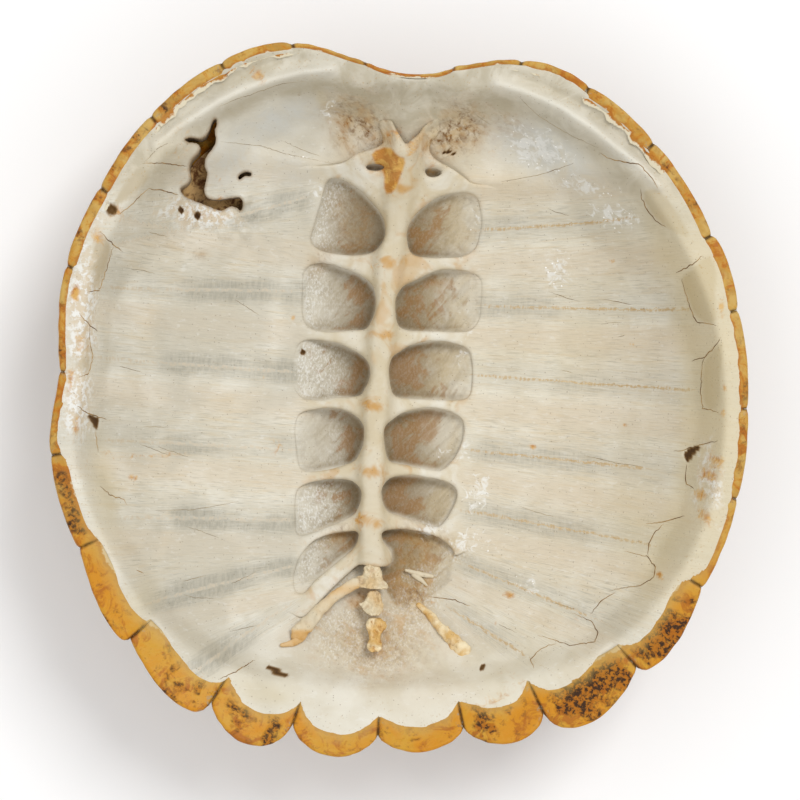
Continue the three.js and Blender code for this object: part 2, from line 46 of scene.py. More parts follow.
# The seams between the marginal scutes: angle from the head end, radius, outward lobe of the scute
# that starts there, place of the lobe's peak, and how far its horn folds inwards.
rim = np.array([
    (-178.2, 159.3, 11, 0.5, 11), (-163.5, 161.8, 13, 0.38, 16), (-149.7, 168.9, 8, 0.22, 17),
    (-133.1, 171.0, 3.5, 0.2, 14), (-116.4, 167.8, 0.8, 0.3, 9), (-100.7, 168.0, 0.5, 0.5, 4),
    (-87.0, 162.8, 0.8, 0.5, 4), (-70.0, 171.8, 0.5, 0.5, 6), (-56.8, 176.0, 0.5, 0.5, 6),
    (-43.5, 181.5, 0.5, 0.5, 6), (-30.3, 184.0, 1, 0.5, 5), (-19.2, 179.8, 0.5, 0.5, 2.5),
    (-8.4, 165.0, -4.5, 0.55, 2.5), (6.6, 163.7, 0.5, 0.5, 2.5), (17.1, 174.0, 1.5, 0.5, 4),
    (28.4, 176.5, 0.5, 0.5, 6), (41.8, 173.8, 0.5, 0.5, 6), (59.2, 168.6, 2, 0.4, 6),
    (72.1, 166.3, 0.5, 0.5, 5), (88.6, 164.8, 0.5, 0.5, 5), (103.7, 166.2, 0.5, 0.5, 4),
    (119.2, 168.2, 5, 0.74, 14), (136.0, 169.0, 11, 0.68, 21), (153.1, 163.3, 9.5, 0.5, 18),
    (166.9, 158.4, 8, 0.5, 12),
])
rimNames = ["right_%d" % i for i in range(12, 0, -1)] + ["nuchal"] + ["left_%d" % i for i in range(1, 13)]

# Values at the front, the sides and the rear of the shell, as in the CAD model.
form = {
    "rimHeight": (72, 86, 76),
    "domePower": (2.2, 2.7, 2.0),
    "flangeSlope": (-0.25, 0.05, -0.5),
    "crestInset": (24, 12, 22),
    "nuchalCrestInset": 9,
    "bottomFlat": 0.12,
    "keelKnob": 2.5,
    "rearFlare": 0.45,
    "lipHeight": 5.4,
    "hornThickness": 0.9,
    "hornGap": 0.65,
    "boneThickness": 4.6,
    "marginalStart": 0.845,
    "midline": -5,
    "spineHeight": 29,
    "spineClearance": 12,
    "keptInside": 0.15,
}
skin = form["hornThickness"] + form["hornGap"]


def softMax(a, b, width):
    return (a + b + np.hypot(a - b, width)) / 2


def softMin(a, b, width):
    return (a + b - np.hypot(a - b, width)) / 2


def smooth(low, high, x):
    t = np.clip((x - low) / (high - low), 0, 1)
    return t * t * (3 - 2 * t)


def bell(x, width):
    return np.exp(-(x / width) ** 2)


def around(key, angle):
    front, side, rear = form[key]
    a = np.radians(angle)
    ends = (front + rear) / 2
    return (ends + side) / 2 + (front - rear) / 2 * np.cos(a) + (ends - side) / 2 * np.cos(2 * a)


def rimStretch(angle):
    turn = angle - 360 * np.floor((angle - rim[0, 0]) / 360)
    i = np.clip(np.searchsorted(rim[:, 0], turn, side="right") - 1, 0, len(rim) - 1)
    after = (i + 1) % len(rim)
    end = rim[after, 0] + np.where(i + 1 == len(rim), 360, 0)
    return i, (turn - rim[i, 0]) / (end - rim[i, 0])


def seamRadius(angle):
    n = len(rim)
    i, t = rimStretch(angle)
    angles = [rim[(i + k) % n, 0] + 360 * np.floor((i + k) / n) for k in (-1, 0, 1, 2)]
    radii = [rim[(i + k) % n, 1] for k in (-1, 0, 1, 2)]
    span = angles[2] - angles[1]
    startSlope = (radii[2] - radii[0]) / (angles[2] - angles[0]) * span
    endSlope = (radii[3] - radii[1]) / (angles[3] - angles[1]) * span
    t2, t3 = t * t, t * t * t
    return ((2 * t3 - 3 * t2 + 1) * radii[1] + (t3 - 2 * t2 + t) * startSlope
            + (3 * t2 - 2 * t3) * radii[2] + (t3 - t2) * endSlope)


def edgeRadius(angle):
    i, t = rimStretch(angle)
    peak = rim[i, 3]
    sharpness = 1.6
    bump = (t / peak) ** (sharpness * peak) * ((1 - t) / (1 - peak)) ** (sharpness * (1 - peak))
    return seamRadius(angle) + rim[i, 2] * bump - form["keptInside"]


def angleOf(x, y):
    return np.degrees(np.arctan2(x, y))


def outsideHeight(x, y):
    angle = angleOf(x, y)
    share = np.hypot(x, y) / seamRadius(angle)
    reach = np.where(share <= 1, share, 1 + form["rearFlare"] * (share - 1))
    climb = np.maximum(0, (reach - form["bottomFlat"]) / (1 - form["bottomFlat"]))
    rise = climb ** around("domePower", angle)
    return form["keelKnob"] + (around("rimHeight", angle) - form["keelKnob"]) * rise


def slopeOf(height, x, y):
    step = 0.5
    return ((height(x + step, y) - height(x - step, y)) / (2 * step),
            (height(x, y + step) - height(x, y - step)) / (2 * step))


def outsideNormal(x, y):
    dx, dy = slopeOf(outsideHeight, x, y)
    normal = np.stack([dx, dy, -np.ones_like(dx)], -1)
    return normal / np.linalg.norm(normal, axis=-1, keepdims=True)


def nuchalShare(angle):
    turned = angle - 360 * np.round(angle / 360)
    return bell(turned, 17)


def crestDepth(angle):
    share = nuchalShare(angle)
    return around("crestInset", angle) * (1 - share) + form["nuchalCrestInset"] * share


def flangeHeight(x, y):
    angle = angleOf(x, y)
    inset = seamRadius(angle) - np.hypot(x, y)
    rear = (1 - np.cos(np.radians(angle))) / 2
    wall = 2.8 - 1.4 * nuchalShare(angle) - 1.2 * rear ** 3
    return (around("rimHeight", angle) + form["lipHeight"] + around("flangeSlope", angle) * inset
            - wall * softMax(inset - crestDepth(angle), 0, 1.5))


# Gentle unevenness: waves of a few sizes at fixed random angles.
def unevenness(x, y, size, seed):
    waves = 9
    draw = np.random.default_rng(seed)
    total = np.zeros_like(x)
    for _ in range(waves):
        turn = draw.uniform(0, 2 * math.pi)
        length = size * draw.uniform(0.6, 1.6)
        phase = draw.uniform(0, 2 * math.pi)
        warp = 1.3 * np.sin((x * math.sin(turn) - y * math.cos(turn)) / (length * 0.9) + 2 * phase)
        total += np.sin((x * math.cos(turn) + y * math.sin(turn)) * 2 * math.pi / length + phase + warp)
    return total / waves


def segmentDistance(x, y, a, b):
    ab = np.subtract(b, a)
    t = np.clip(((x - a[0]) * ab[0] + (y - a[1]) * ab[1]) / (ab @ ab), 0, 1)
    return np.hypot(x - a[0] - t * ab[0], y - a[1] - t * ab[1]), t


# Signed distance to a closed outline, negative inside.
def outlineDistance(x, y, points):
    nearest = np.full(x.shape, 1e9)
    inside = np.zeros(x.shape, bool)
    for a, b in zip(points, np.roll(points, -1, axis=0)):
        nearest = np.minimum(nearest, segmentDistance(x, y, a, b)[0])
        if a[1] != b[1]:
            crosses = (a[1] > y) != (b[1] > y)
            inside ^= crosses & (x < (b[0] - a[0]) * (y - a[1]) / (b[1] - a[1]) + a[0])
    return np.where(inside, -nearest, nearest)


# Cuts the corners of a closed outline, so that it runs smoothly.
def rounded(points, rounds=2):
    points = np.array(points, float)
    for _ in range(rounds):
        ahead = np.roll(points, -1, axis=0)
        points = np.stack([0.75 * points + 0.25 * ahead, 0.25 * points + 0.75 * ahead], 1).reshape(-1, 2)
    return points


# Makes a mesh object from millimetre points and faces, with point values for the materials.
def makePiece(name, points, faces, values=None):
    mesh = bpy.data.meshes.new(name)
    faces = np.asarray(faces)
    corners = faces.shape[1]
    mesh.vertices.add(len(points))
    mesh.vertices.foreach_set("co", (np.asarray(points) * millimetre).astype(np.float32).ravel())
    mesh.loops.add(faces.size)
    mesh.loops.foreach_set("vertex_index", faces.astype(np.int32).ravel())
    mesh.polygons.add(len(faces))
    mesh.polygons.foreach_set("loop_start", np.arange(len(faces), dtype=np.int32) * corners)
    mesh.polygons.foreach_set("use_smooth", np.ones(len(faces), bool))
    mesh.update()
    mesh.validate()
    piece = bpy.data.objects.new(name, mesh)
    bpy.context.scene.collection.objects.link(piece)
    setValues(piece, values or {})
    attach(piece, "root")
    return piece


def setValues(piece, values):
    for key, value in values.items():
        layer = piece.data.attributes.new(key, "FLOAT", "POINT")
        layer.data.foreach_set("value", np.asarray(value, np.float32).ravel())


def pointsOf(piece):
    flat = np.empty(len(piece.data.vertices) * 3, np.float32)
    piece.data.vertices.foreach_get("co", flat)
    return flat.reshape(-1, 3) / millimetre


def flipped(faces):
    return faces[:, ::-1]


# The surface where a field of signed distances is zero, as quads.
def fieldSurface(field, origin, pitch):
    for axis in range(3):
        line = np.moveaxis(field, axis, 0)
        line[1:-1] = (line[:-2] + 4 * line[1:-1] + line[2:]) / 6
    inside = field < 0
    n = field.shape
    total = sum(inside[a:n[0] - 1 + a, b:n[1] - 1 + b, c:n[2] - 1 + c].astype(np.int8)
                for a in (0, 1) for b in (0, 1) for c in (0, 1))
    cells = np.argwhere((total > 0) & (total < 8))
    index = np.full(total.shape, -1, np.int64)
    index[tuple(cells.T)] = np.arange(len(cells))
    corners = [(a, b, c) for a in (0, 1) for b in (0, 1) for c in (0, 1)]
    value = {k: field[tuple((cells + k).T)] for k in corners}
    place = np.zeros((len(cells), 3))
    count = np.zeros(len(cells))
    for k in corners:
        for axis in range(3):
            if k[axis]:
                continue
            other = tuple(1 if i == axis else k[i] for i in range(3))
            a, b = value[k], value[other]
            crosses = (a < 0) != (b < 0)
            t = np.where(crosses, a / np.where(crosses, a - b, 1), 0)
            spot = np.array(k, float) + t[:, None] * np.eye(3)[axis]
            place += np.where(crosses[:, None], spot, 0)
            count += crosses
    points = (cells + place / count[:, None]) * pitch + origin
    faces = []
    for axis in range(3):
        u, v = (axis + 1) % 3, (axis + 2) % 3
        low = [slice(1, n[i] - 1) for i in range(3)]
        low[axis] = slice(0, n[axis] - 1)
        high = list(low)
        high[axis] = slice(1, n[axis])
        first, second = inside[tuple(low)], inside[tuple(high)]
        start = np.array([1, 1, 1])
        start[axis] = 0
        for leaving, turned in ((first & ~second, False), (~first & second, True)):
            spots = np.argwhere(leaving) + start
            stepU, stepV = np.eye(3, dtype=int)[u], np.eye(3, dtype=int)[v]
            quad = np.stack([index[tuple((spots - du * stepU - dv * stepV).T)]
                             for du, dv in ((1, 1), (0, 1), (0, 0), (1, 0))], 1)
            faces.append(flipped(quad) if turned else quad)
    faces = np.concatenate(faces)
    return points, faces[(faces >= 0).all(1)]


print("shapes ready")

# Openings between the rib arches, traced round their edges, and the outlines before and behind them.
windows = {
    "right1": [(-36.5, 109), (-31.5, 108.5), (-25, 105.5), (-19.5, 101), (-14.5, 96.5), (-10.5, 92),
               (-8.5, 86.5), (-8, 83), (-9.5, 79), (-12, 75.5), (-15.5, 73.5), (-21, 72.5), (-27, 72),
               (-33, 72.5), (-39.5, 73.5), (-44, 76), (-46, 78.5), (-45, 82.5), (-43.5, 89.5), (-41.5, 97.5),
               (-40, 104.5), (-39, 107.5)],
    "left1": [(26, 104.5), (32, 104), (35, 102), (36.5, 98.5), (37.5, 92.5), (37.5, 86), (36, 78), (30.5, 74),
              (22, 73), (12.5, 72.5), (6, 73), (3, 75), (1.5, 78.5), (0.5, 84), (2, 89), (5, 93.5), (9, 97.5),
              (14, 101), (19.5, 103.5)],
    "right2": [(-48.5, 63), (-46, 66.5), (-41, 68), (-35.5, 67.5), (-29, 66), (-22.5, 63.5), (-17, 61),
               (-13.5, 57.5), (-12, 53), (-11.5, 48), (-12, 43.5), (-14, 39), (-16.5, 35.5), (-23, 35),
               (-29, 34.5), (-35.5, 34), (-41.5, 34.5), (-45.5, 36), (-48, 40), (-48.5, 49), (-48.5, 56.5)],
    "left2": [(-3.5, 48.5), (-3.5, 52), (-1.5, 56), (1.5, 59), (6.5, 61), (12.5, 64.5), (19, 67), (27, 67.5),
              (33.5, 66.5), (37.5, 65), (39.5, 62), (39.5, 52.5), (39.5, 43.5), (36, 37.5), (28, 36.5),
              (18.5, 36.5), (9, 36), (0, 36.5), (-2.5, 40.5)],
    "right3": [(-50.5, 24.5), (-48.5, 28.5), (-44, 30), (-37.5, 29.5), (-31.5, 29), (-25.5, 27), (-20, 24.5),
               (-16, 22), (-13.5, 18.5), (-12.5, 14.5), (-13, 11), (-15.5, 6.5), (-17.5, 2.5), (-23.5, 2),
               (-29, 2), (-36.5, 0), (-41.5, 0), (-46, 0), (-49, 2.5), (-51, 7.5), (-51.5, 17)],
    "left3": [(-5.5, 15.5), (-5, 19.5), (-3.5, 23.5), (0, 25.5), (5, 29), (11.5, 31), (20.5, 32), (27.5, 31),
              (33, 29.5), (36, 27), (37, 20.5), (37.5, 11), (36, 3), (26, 2.5), (16.5, 2.5), (7, 2.5),
              (-2, 2.5), (-4.5, 9.5)],
    "right4": [(-49.5, -9.5), (-45.5, -6), (-40, -4.5), (-33.5, -3.5), (-26, -4), (-21, -6), (-17.5, -8.5),
               (-15, -12), (-14.5, -16.5), (-15, -21.5), (-17, -26), (-19.5, -30), (-24.5, -32),
               (-29.5, -33.5), (-35.5, -35), (-42, -35.5), (-46, -35), (-48, -29), (-49, -19.5)],
    "left4": [(-7, -15), (-6, -11), (-2, -8), (2, -5), (8, -3), (15, -1.5), (22, -2), (28.5, -3.5), (33, -6),
              (34.5, -9.5), (33.5, -19), (29.5, -27.5), (24, -32.5), (16.5, -32), (9, -31), (2, -30),
              (-3.5, -29.5), (-5.5, -22.5)],
    "right5": [(-48, -45.5), (-45, -42.5), (-40, -40.5), (-32.5, -39), (-25, -38.5), (-20, -39), (-16, -42),
               (-14.5, -45.5), (-15.5, -50.5), (-18, -56), (-23, -58.5), (-27.5, -60.5), (-34.5, -63.5),
               (-40, -66), (-44.5, -67.5), (-47, -66), (-48, -57.5)],
    "left5": [(-7, -44.5), (-6, -41), (-2.5, -37), (4, -35.5), (11.5, -35.5), (20, -36.5), (27, -38),
              (32, -41), (31.5, -48), (27.5, -56), (23, -61), (16.5, -59.5), (9.5, -57.5), (3.5, -55.5),
              (-2, -54.5), (-5, -51)],
    "right6": [(-43, -75), (-40, -70.5), (-33.5, -67), (-25, -64.5), (-16.5, -63.5), (-15.5, -66),
               (-17, -71.5), (-20.5, -74.5), (-24.5, -78), (-30.5, -82.5), (-35, -86.5), (-38.5, -90),
               (-42, -95), (-46.5, -94.5), (-47.5, -87.5), (-46, -79.5)],
    "left6": [(-6, -65.5), (-5.5, -63.5), (-1.5, -62), (6.5, -62), (14, -63), (20.5, -64.5), (26, -67),
              (32.5, -73), (30, -92), (14, -104.5), (-2.5, -105), (-5.5, -92.5), (-5.5, -82), (-4, -80.5),
              (0.5, -79.5), (0.5, -73.5), (-2, -71.5), (-5, -68.5)],
    "smallRight": [(-21, 115), (-19, 116), (-16, 116.5), (-13, 116.5), (-10.5, 115), (-12, 113.5),
                   (-15, 112.5), (-18, 113), (-20, 113.5)],
    "smallLeft": [(8, 115.5), (10, 115.5), (14, 115.5), (16, 114.5), (17, 113.5), (15.5, 112), (12, 111),
                  (9.5, 111.5), (8, 113)],
}
frontOutline = [(-110, 119), (-71.5, 117.5), (-59, 115), (-44.5, 114.5), (-34, 115.5), (-29.5, 117.5),
                (-26, 120.5), (-19.5, 122.5), (-15, 124), (-12.5, 126), (-13, 129), (-15, 133), (-16, 137),
                (-9, 137.5), (-8, 134), (-5.5, 129.5), (-3.5, 126), (-1.5, 123), (-0.5, 126), (4, 130),
                (6.5, 135.5), (13, 140), (14.5, 138), (14.5, 131.5), (10, 127.5), (9.5, 123.5), (12.5, 119.5),
                (20, 116.5), (26.5, 113), (31, 109.5), (37.5, 109), (52.5, 109.5), (110, 113), (110, 190),
                (-110, 190)]
rearOutline = [(-4, -79.5), (-9.5, -78.5), (-15.5, -79.5), (-19.5, -83), (-25, -88.5), (-31, -95),
               (-37.5, -102.5), (-42.5, -107.5), (-50, -104), (-70, -104), (-70, -190), (70, -190), (70, -68),
               (34, -70), (20, -90)]
windowEdges = {key: rounded(points) for key, points in windows.items()}
frontEdge, rearEdge = rounded(frontOutline, 1), rounded(rearOutline, 1)

spineLine = np.array([
    (-9, -80, 6.5), (-9.6, -68, 4.5), (-10.1, -59, 6.5), (-11, -46, 4), (-11.1, -34, 6.5),
    (-10.7, -18.5, 3.8), (-10, -1, 6.5), (-9.4, 16, 3.8), (-8.9, 33, 6.5), (-7.4, 52, 4), (-7, 70, 7),
    (-4.3, 90, 4.5), (-3.4, 105, 8), (-2.5, 120, 8), (-1, 140, 8),
])

# Ribs run from the backbone to the rim with sutures between them: both ends of each, front to back.
ribs = {
    "left": [((37, 108), (117.4, 108.9)), ((41.4, 71), (141.6, 78.4)), ((40.4, 34.6), (151.7, 39.7)),
             ((37.8, 1.1), (152.1, -5.1)), ((34.2, -33.9), (138.5, -48.1)), ((30.5, -65.4), (125.3, -73.4)),
             ((26, -84), (98, -107.4)), ((20, -96), (71.4, -132.8))],
    "right": [((-38, 111), (-127.6, 109.5)), ((-48, 70), (-145.7, 84.9)), ((-50.6, 32.5), (-154.9, 41.6)),
              ((-51.2, -2.4), (-155.3, 2.5)), ((-49.8, -38.3), (-146.2, -31.9)),
              ((-45, -72.4), (-132.4, -68)), ((-43, -97), (-108.5, -105.2)), ((-40, -108), (-78.8, -132.6))],
}
sutures = {
    "left": [((28.8, 86.3), (107.7, 93.6)), ((41.7, 50.1), (136.5, 50.7)), ((38.6, 15.6), (140, 12.1)),
             ((37.1, -21.8), (119.8, -26.9)), ((33.8, -51.7), (123.7, -63.5)), ((32.3, -76.7), (95.7, -99.5)),
             ((20.6, -94.6), (65.5, -119.1))],
    "right": [((-49.4, 99.1), (-119, 76.7)), ((-50, 53.8), (-144.5, 49.5)), ((-53.4, 13.4), (-148.5, 16)),
              ((-49.3, -25.2), (-139.2, -23.3)), ((-50.4, -60.1), (-130.4, -60.2)),
              ((-49.5, -82.5), (-116.8, -99.8)), ((-48.8, -99.8), (-96.1, -132.9))],
}

# Where the plates differ from a plain bowl: sizes in millimetres.
plates = {
    "shoulder": 5.2,
    "shoulderStart": 25,
    "shoulderFull": 47,
    "fingerReach": 60,
    "fingerWide": 12,
    "fingerTip": 5.5,
    "fingerRise": 0.75,
    "pitDepth": 1.7,
    "ribSwell": 0.6,
    "sutureRidge": 0.22,
    "underHorn": 1.5,
    "besideHorn": 0.25,
    "frontEase": 1.55,
}

# Shallow openings between the tips of the ribs, where the rim bones lie bare.
rimPits = [
    [(-127.2, 107.4), (-122.5, 102.4), (-129.1, 95.1), (-136.3, 88.5), (-140.9, 86.9), (-137, 95.6),
     (-131.8, 104.4)],
    [(-146.1, 75.2), (-140.1, 69.7), (-141, 63.6), (-142.7, 57.4), (-145.9, 47.6), (-152.3, 46.5),
     (-149.4, 65.6)],
    [(-153.7, 35.6), (-148.9, 30.7), (-148.6, 23.1), (-147.2, 16.6), (-148.3, 8), (-153.7, 5.8),
     (-155.7, 20)],
    [(111.3, 106.6), (117.5, 107.4), (123.4, 101.7), (128.5, 94.4), (134.6, 83.8), (127.4, 85.3),
     (117.8, 92.3), (111.1, 102)],
    [(140.6, 75.7), (144.7, 75.8), (147.5, 65.1), (146.1, 58.4), (148.3, 42.8), (139.7, 44.9), (133, 60.3),
     (131, 65.2), (135.4, 69.8)],
    [(150.5, 37), (151.2, 28.8), (150.6, 20.5), (151.1, 9.7), (150.5, 2.2), (145, 3.6), (143.9, 20.4),
     (144.3, 27.9)],
]

# Ridges standing on the inside of the front: line, height and half width.
ridges = {
    "crestRight": ([(-121.4, 117.1), (-112.3, 125.6), (-104.2, 130.9), (-92.3, 139.6), (-79.5, 146.4),
                    (-66.4, 151.4), (-53.4, 155.5), (-40.4, 157.2)], 3.4, 2.5),
    "crestLeft": ([(39.6, 154.3), (51.3, 151.4), (62.3, 147.5), (70.9, 143.7), (85.7, 134.4), (96.6, 126),
                   (108.2, 117.6), (118.1, 108.2)], 3.4, 2.5),
    "hollowRight": ([(-108, 124.5), (-101.3, 128.7), (-90.1, 133.2), (-75.2, 143), (-63.9, 146.5),
                     (-53.2, 148.9), (-36, 150)], -2.0, 4.5),
    "hollowLeft": ([(32.5, 147), (50, 144.5), (66.7, 137.6), (81.4, 129.7), (96.9, 120.3)], -2.0, 4.5),
    "firstRibRight": ([(-28.8, 117.3), (-39.6, 114.7), (-56.2, 115), (-74.3, 115.8), (-88, 115.8),
                       (-102, 115.4), (-118.1, 113)], 2.8, 6.5),
    "firstRibRightEdge": ([(-30, 117.3), (-39.6, 114.9), (-56.2, 116), (-74.3, 118.8)], 0.9, 1.7),
    "firstRibLeft": ([(31.3, 109.7), (46.1, 109.3), (60, 110.5), (75, 113), (92, 115), (108.2, 112.6)], 2.6,
                     6.5),
    "firstRibLeftEdge": ([(31.3, 110.5), (46.1, 110.3), (55.8, 111.8), (65.2, 115), (78.3, 118.5)], 0.9, 1.6),
    "grooveRight": ([(-118, 125), (-109, 134), (-97, 144), (-84, 152), (-69, 158), (-52, 162)], -1.7, 3.4),
    "grooveLeft": ([(48, 160), (64, 153), (78, 147), (92, 138), (106, 127), (117, 116)], -1.5, 3.2),
    "midlineFront": ([(-1.5, 127), (-1, 140), (-0.5, 153)], 2.6, 6),
}
hollows = [(-25, 137, 19, 13, 2.6), (21, 136, 18, 12, 2.4), (-48, 134, 20, 9, 1.2), (56, 130, 18, 9, 1.2)]
nodules = [(-112.1, 95.1, 4), (-78.4, 96.3, 3), (-77.8, 80.6, 3.2), (-109.8, 80, 4), (-105.2, 84.5, 4.2),
           (-93.5, 84.9, 5), (-84, 86.4, 5), (-98.5, 88, 4), (-75.5, 88.8, 3), (-88, 80, 4)]
grooves = [[(-118.5, 124.1), (-104, 138.3), (-92.5, 147)], [(58, 157), (80, 146), (100, 131)],
           [(-60, 163), (-84, 154), (-100, 145)]]

# Small deep pits: place, radius and depth.
darkPits = [(-140.8, 85.8, 2.8, 3), (-109, 88.9, 1.3, 3), (-101.6, 87.2, 1.7, 3), (-74.6, 153.4, 2.3, 0.9),
            (17.5, 123.5, 0.9, 3), (19.5, 123.7, 1.1, 3), (22, 123, 0.8, 3), (-47.5, 23.5, 1.4, 2.5),
            (-54.5, 146.5, 1, 1.2)]
deepNotches = [
    [(-149.3, -11.1), (-144.2, -12.6), (-143.6, -14.5), (-145.2, -19.2), (-146.5, -15)],
    [(138.1, -17.4), (146.2, -13.4), (141.9, -19.8), (139.9, -24.3)],
    [(-59.5, -127.4), (-55.5, -128.9), (-48.2, -132.4), (-49.2, -133.6), (-53.5, -132.6), (-58.6, -129.9)],
    [(43.6, -125.4), (45.8, -124.4), (47, -125), (45.4, -126.6), (43.3, -127.2)],
]

holeOutline = [(-94.4, 132.7), (-92.9, 130.4), (-94.3, 126.6), (-93.2, 121.5), (-95.5, 117.4), (-98.3, 113.8),
               (-98.8, 110.1), (-97, 107.1), (-98, 102.8), (-98.8, 97.8), (-96.1, 95.2), (-90.3, 95.4),
               (-84, 97.1), (-80.4, 97.3), (-79.6, 93.5), (-80.6, 90.3), (-82.8, 92.5), (-86.4, 92.7),
               (-89.5, 90.2), (-92.8, 90.8), (-98.2, 92.6), (-103.6, 94), (-107.4, 95), (-110.3, 98.7),
               (-106.6, 100.6), (-104.5, 104.1), (-105.8, 107.9), (-105, 112), (-101.9, 115.1),
               (-100.2, 118.4), (-102.8, 120.2), (-106.5, 119.6), (-108.4, 121.2), (-104.7, 122.3),
               (-101.1, 121.8), (-98.1, 123.4), (-96.1, 127.9)]
slotOutline = [(-82.8, 107.1), (-79.5, 109.7), (-76, 109.3), (-76.4, 107.4), (-79.4, 107.7), (-81.8, 105.2)]


def windowDistance(x, y):
    nearest = np.full(x.shape, 1e9)
    for points in windowEdges.values():
        low, high = points.min(0) - 16, points.max(0) + 16
        near = (x > low[0]) & (x < high[0]) & (y > low[1]) & (y < high[1])
        if near.any():
            nearest[near] = np.minimum(nearest[near], outlineDistance(x[near], y[near], points))
    return nearest


# Signed distance to the fingers that end the ribs: negative on them.
def fingerDistance(x, y):
    distance = np.full(x.shape, 99.0)
    for side in ribs.values():
        for inner, tip in side:
            along = np.subtract(tip, inner) / np.hypot(*np.subtract(tip, inner))
            root = np.subtract(tip, along * plates["fingerReach"])
            end = np.subtract(tip, along * plates["fingerTip"])
            far, t = segmentDistance(x, y, root, end)
            width = plates["fingerWide"] + (plates["fingerTip"] - plates["fingerWide"]) * t ** 1.3
            distance = softMin(distance, far - width, 1.5)
    return distance


def lineDistance(x, y, points):
    return np.min([segmentDistance(x, y, a, b)[0] for a, b in zip(points, points[1:])], axis=0)


def pitShare(x, y):
    share = np.zeros(x.shape)
    for outline in rimPits:
        share = np.maximum(share, smooth(0.5, -1.1, outlineDistance(x, y, rounded(outline))))
    return share


def sculpted(x, y):
    change = np.zeros(x.shape)
    for points, height, half in ridges.values():
        change += height * bell(lineDistance(x, y, points), half)
    for px, py, reachX, reachY, depth in hollows:
        change -= depth * np.exp(-(((x - px) / reachX) ** 2 + ((y - py) / reachY) ** 2))
    lumps = np.zeros(x.shape)
    for px, py, radius in nodules:
        cap = 1 - ((x - px) ** 2 + (y - py) ** 2) / radius ** 2
        lumps = np.maximum(lumps, 1.5 * np.sqrt(np.maximum(0, cap)))
    change += lumps * (1 + 0.5 * unevenness(x, y, 4, 17))
    for points in grooves:
        change -= 0.6 * bell(lineDistance(x, y, points), 1.6)
    for px, py, radius, deep in darkPits:
        change -= deep * (1 - smooth(0.45, 1.15, np.hypot(x - px, y - py) / radius))
    for outline in deepNotches:
        change -= 2.6 * smooth(0.35, -0.9, outlineDistance(x, y, rounded(outline, 1)))
    return change


# Rib number across the plates, counted from the front.
def ribPlace(x, y):
    across = np.zeros_like(x)
    for side, sign in (("left", 1), ("right", -1)):
        here = (x - form["midline"]) * sign >= 0
        px, py = x[here], y[here]
        lines = [line for pair in zip(ribs[side], sutures[side] + [None]) for line in pair if line]
        offsets = []
        for a, b in lines:
            d = np.subtract(b, a) / np.hypot(*np.subtract(b, a))
            offsets.append(((px - a[0]) * d[1] - (py - a[1]) * d[0]) * sign)
        offsets = np.stack(offsets)
        number = np.clip((offsets > 0).sum(0), 1, len(lines) - 1)
        before = np.take_along_axis(offsets, (number - 1)[None], 0)[0]
        after = np.take_along_axis(offsets, number[None], 0)[0]
        part = before / np.where(np.abs(before - after) < 1e-6, 1, before - after)
        across[here] = number - 1 + np.clip(part, -1.5, 2.5)
    return across


# Distance to the nearest suture; its sign tells the side.
def sutureDistance(x, y):
    nearest, signed = np.full(x.shape, 99.0), np.full(x.shape, 99.0)
    for lines in sutures.values():
        for a, b in lines:
            d = np.subtract(b, a) / np.hypot(*np.subtract(b, a))
            far, _ = segmentDistance(x, y, a, b)
            side = (x - a[0]) * d[1] - (y - a[1]) * d[0]
            signed = np.where(far < nearest, np.sign(side) * far, signed)
            nearest = np.minimum(nearest, far)
    return signed


# The bone's inside before windows and small pits are cut into it.
def plainFloor(x, y):
    nx, ny = slopeOf(outsideHeight, x, y)
    steepness = np.sqrt(1 + nx ** 2 + ny ** 2)
    return outsideHeight(x, y) + (skin + form["boneThickness"]) * steepness


# Where the rib plates stand proud beside the windows, from 0 to 1.
def besideWindows(x):
    return smooth(plates["shoulderStart"], plates["shoulderFull"], np.abs(x - form["midline"]))


# How far they stand proud: this fades outwards and to both ends.
def shoulderHeight(x, y):
    height = plates["shoulder"] * (1 - smooth(62, 118, np.abs(x - form["midline"])))
    return height * (1 - smooth(92, 128, y)) * smooth(-124, -86, y)


# How far the horn folds inwards over the rim, eased from scute to scute.
def hornFold(angle):
    i, t = rimStretch(angle)
    own, ahead, behind = rim[i, 4], rim[(i + 1) % len(rim), 4], rim[i - 1, 4]
    return np.where(t > 0.5, own + (ahead - own) * smooth(0.75, 1.25, t),
                    own + (behind - own) * (1 - smooth(-0.25, 0.25, t)))


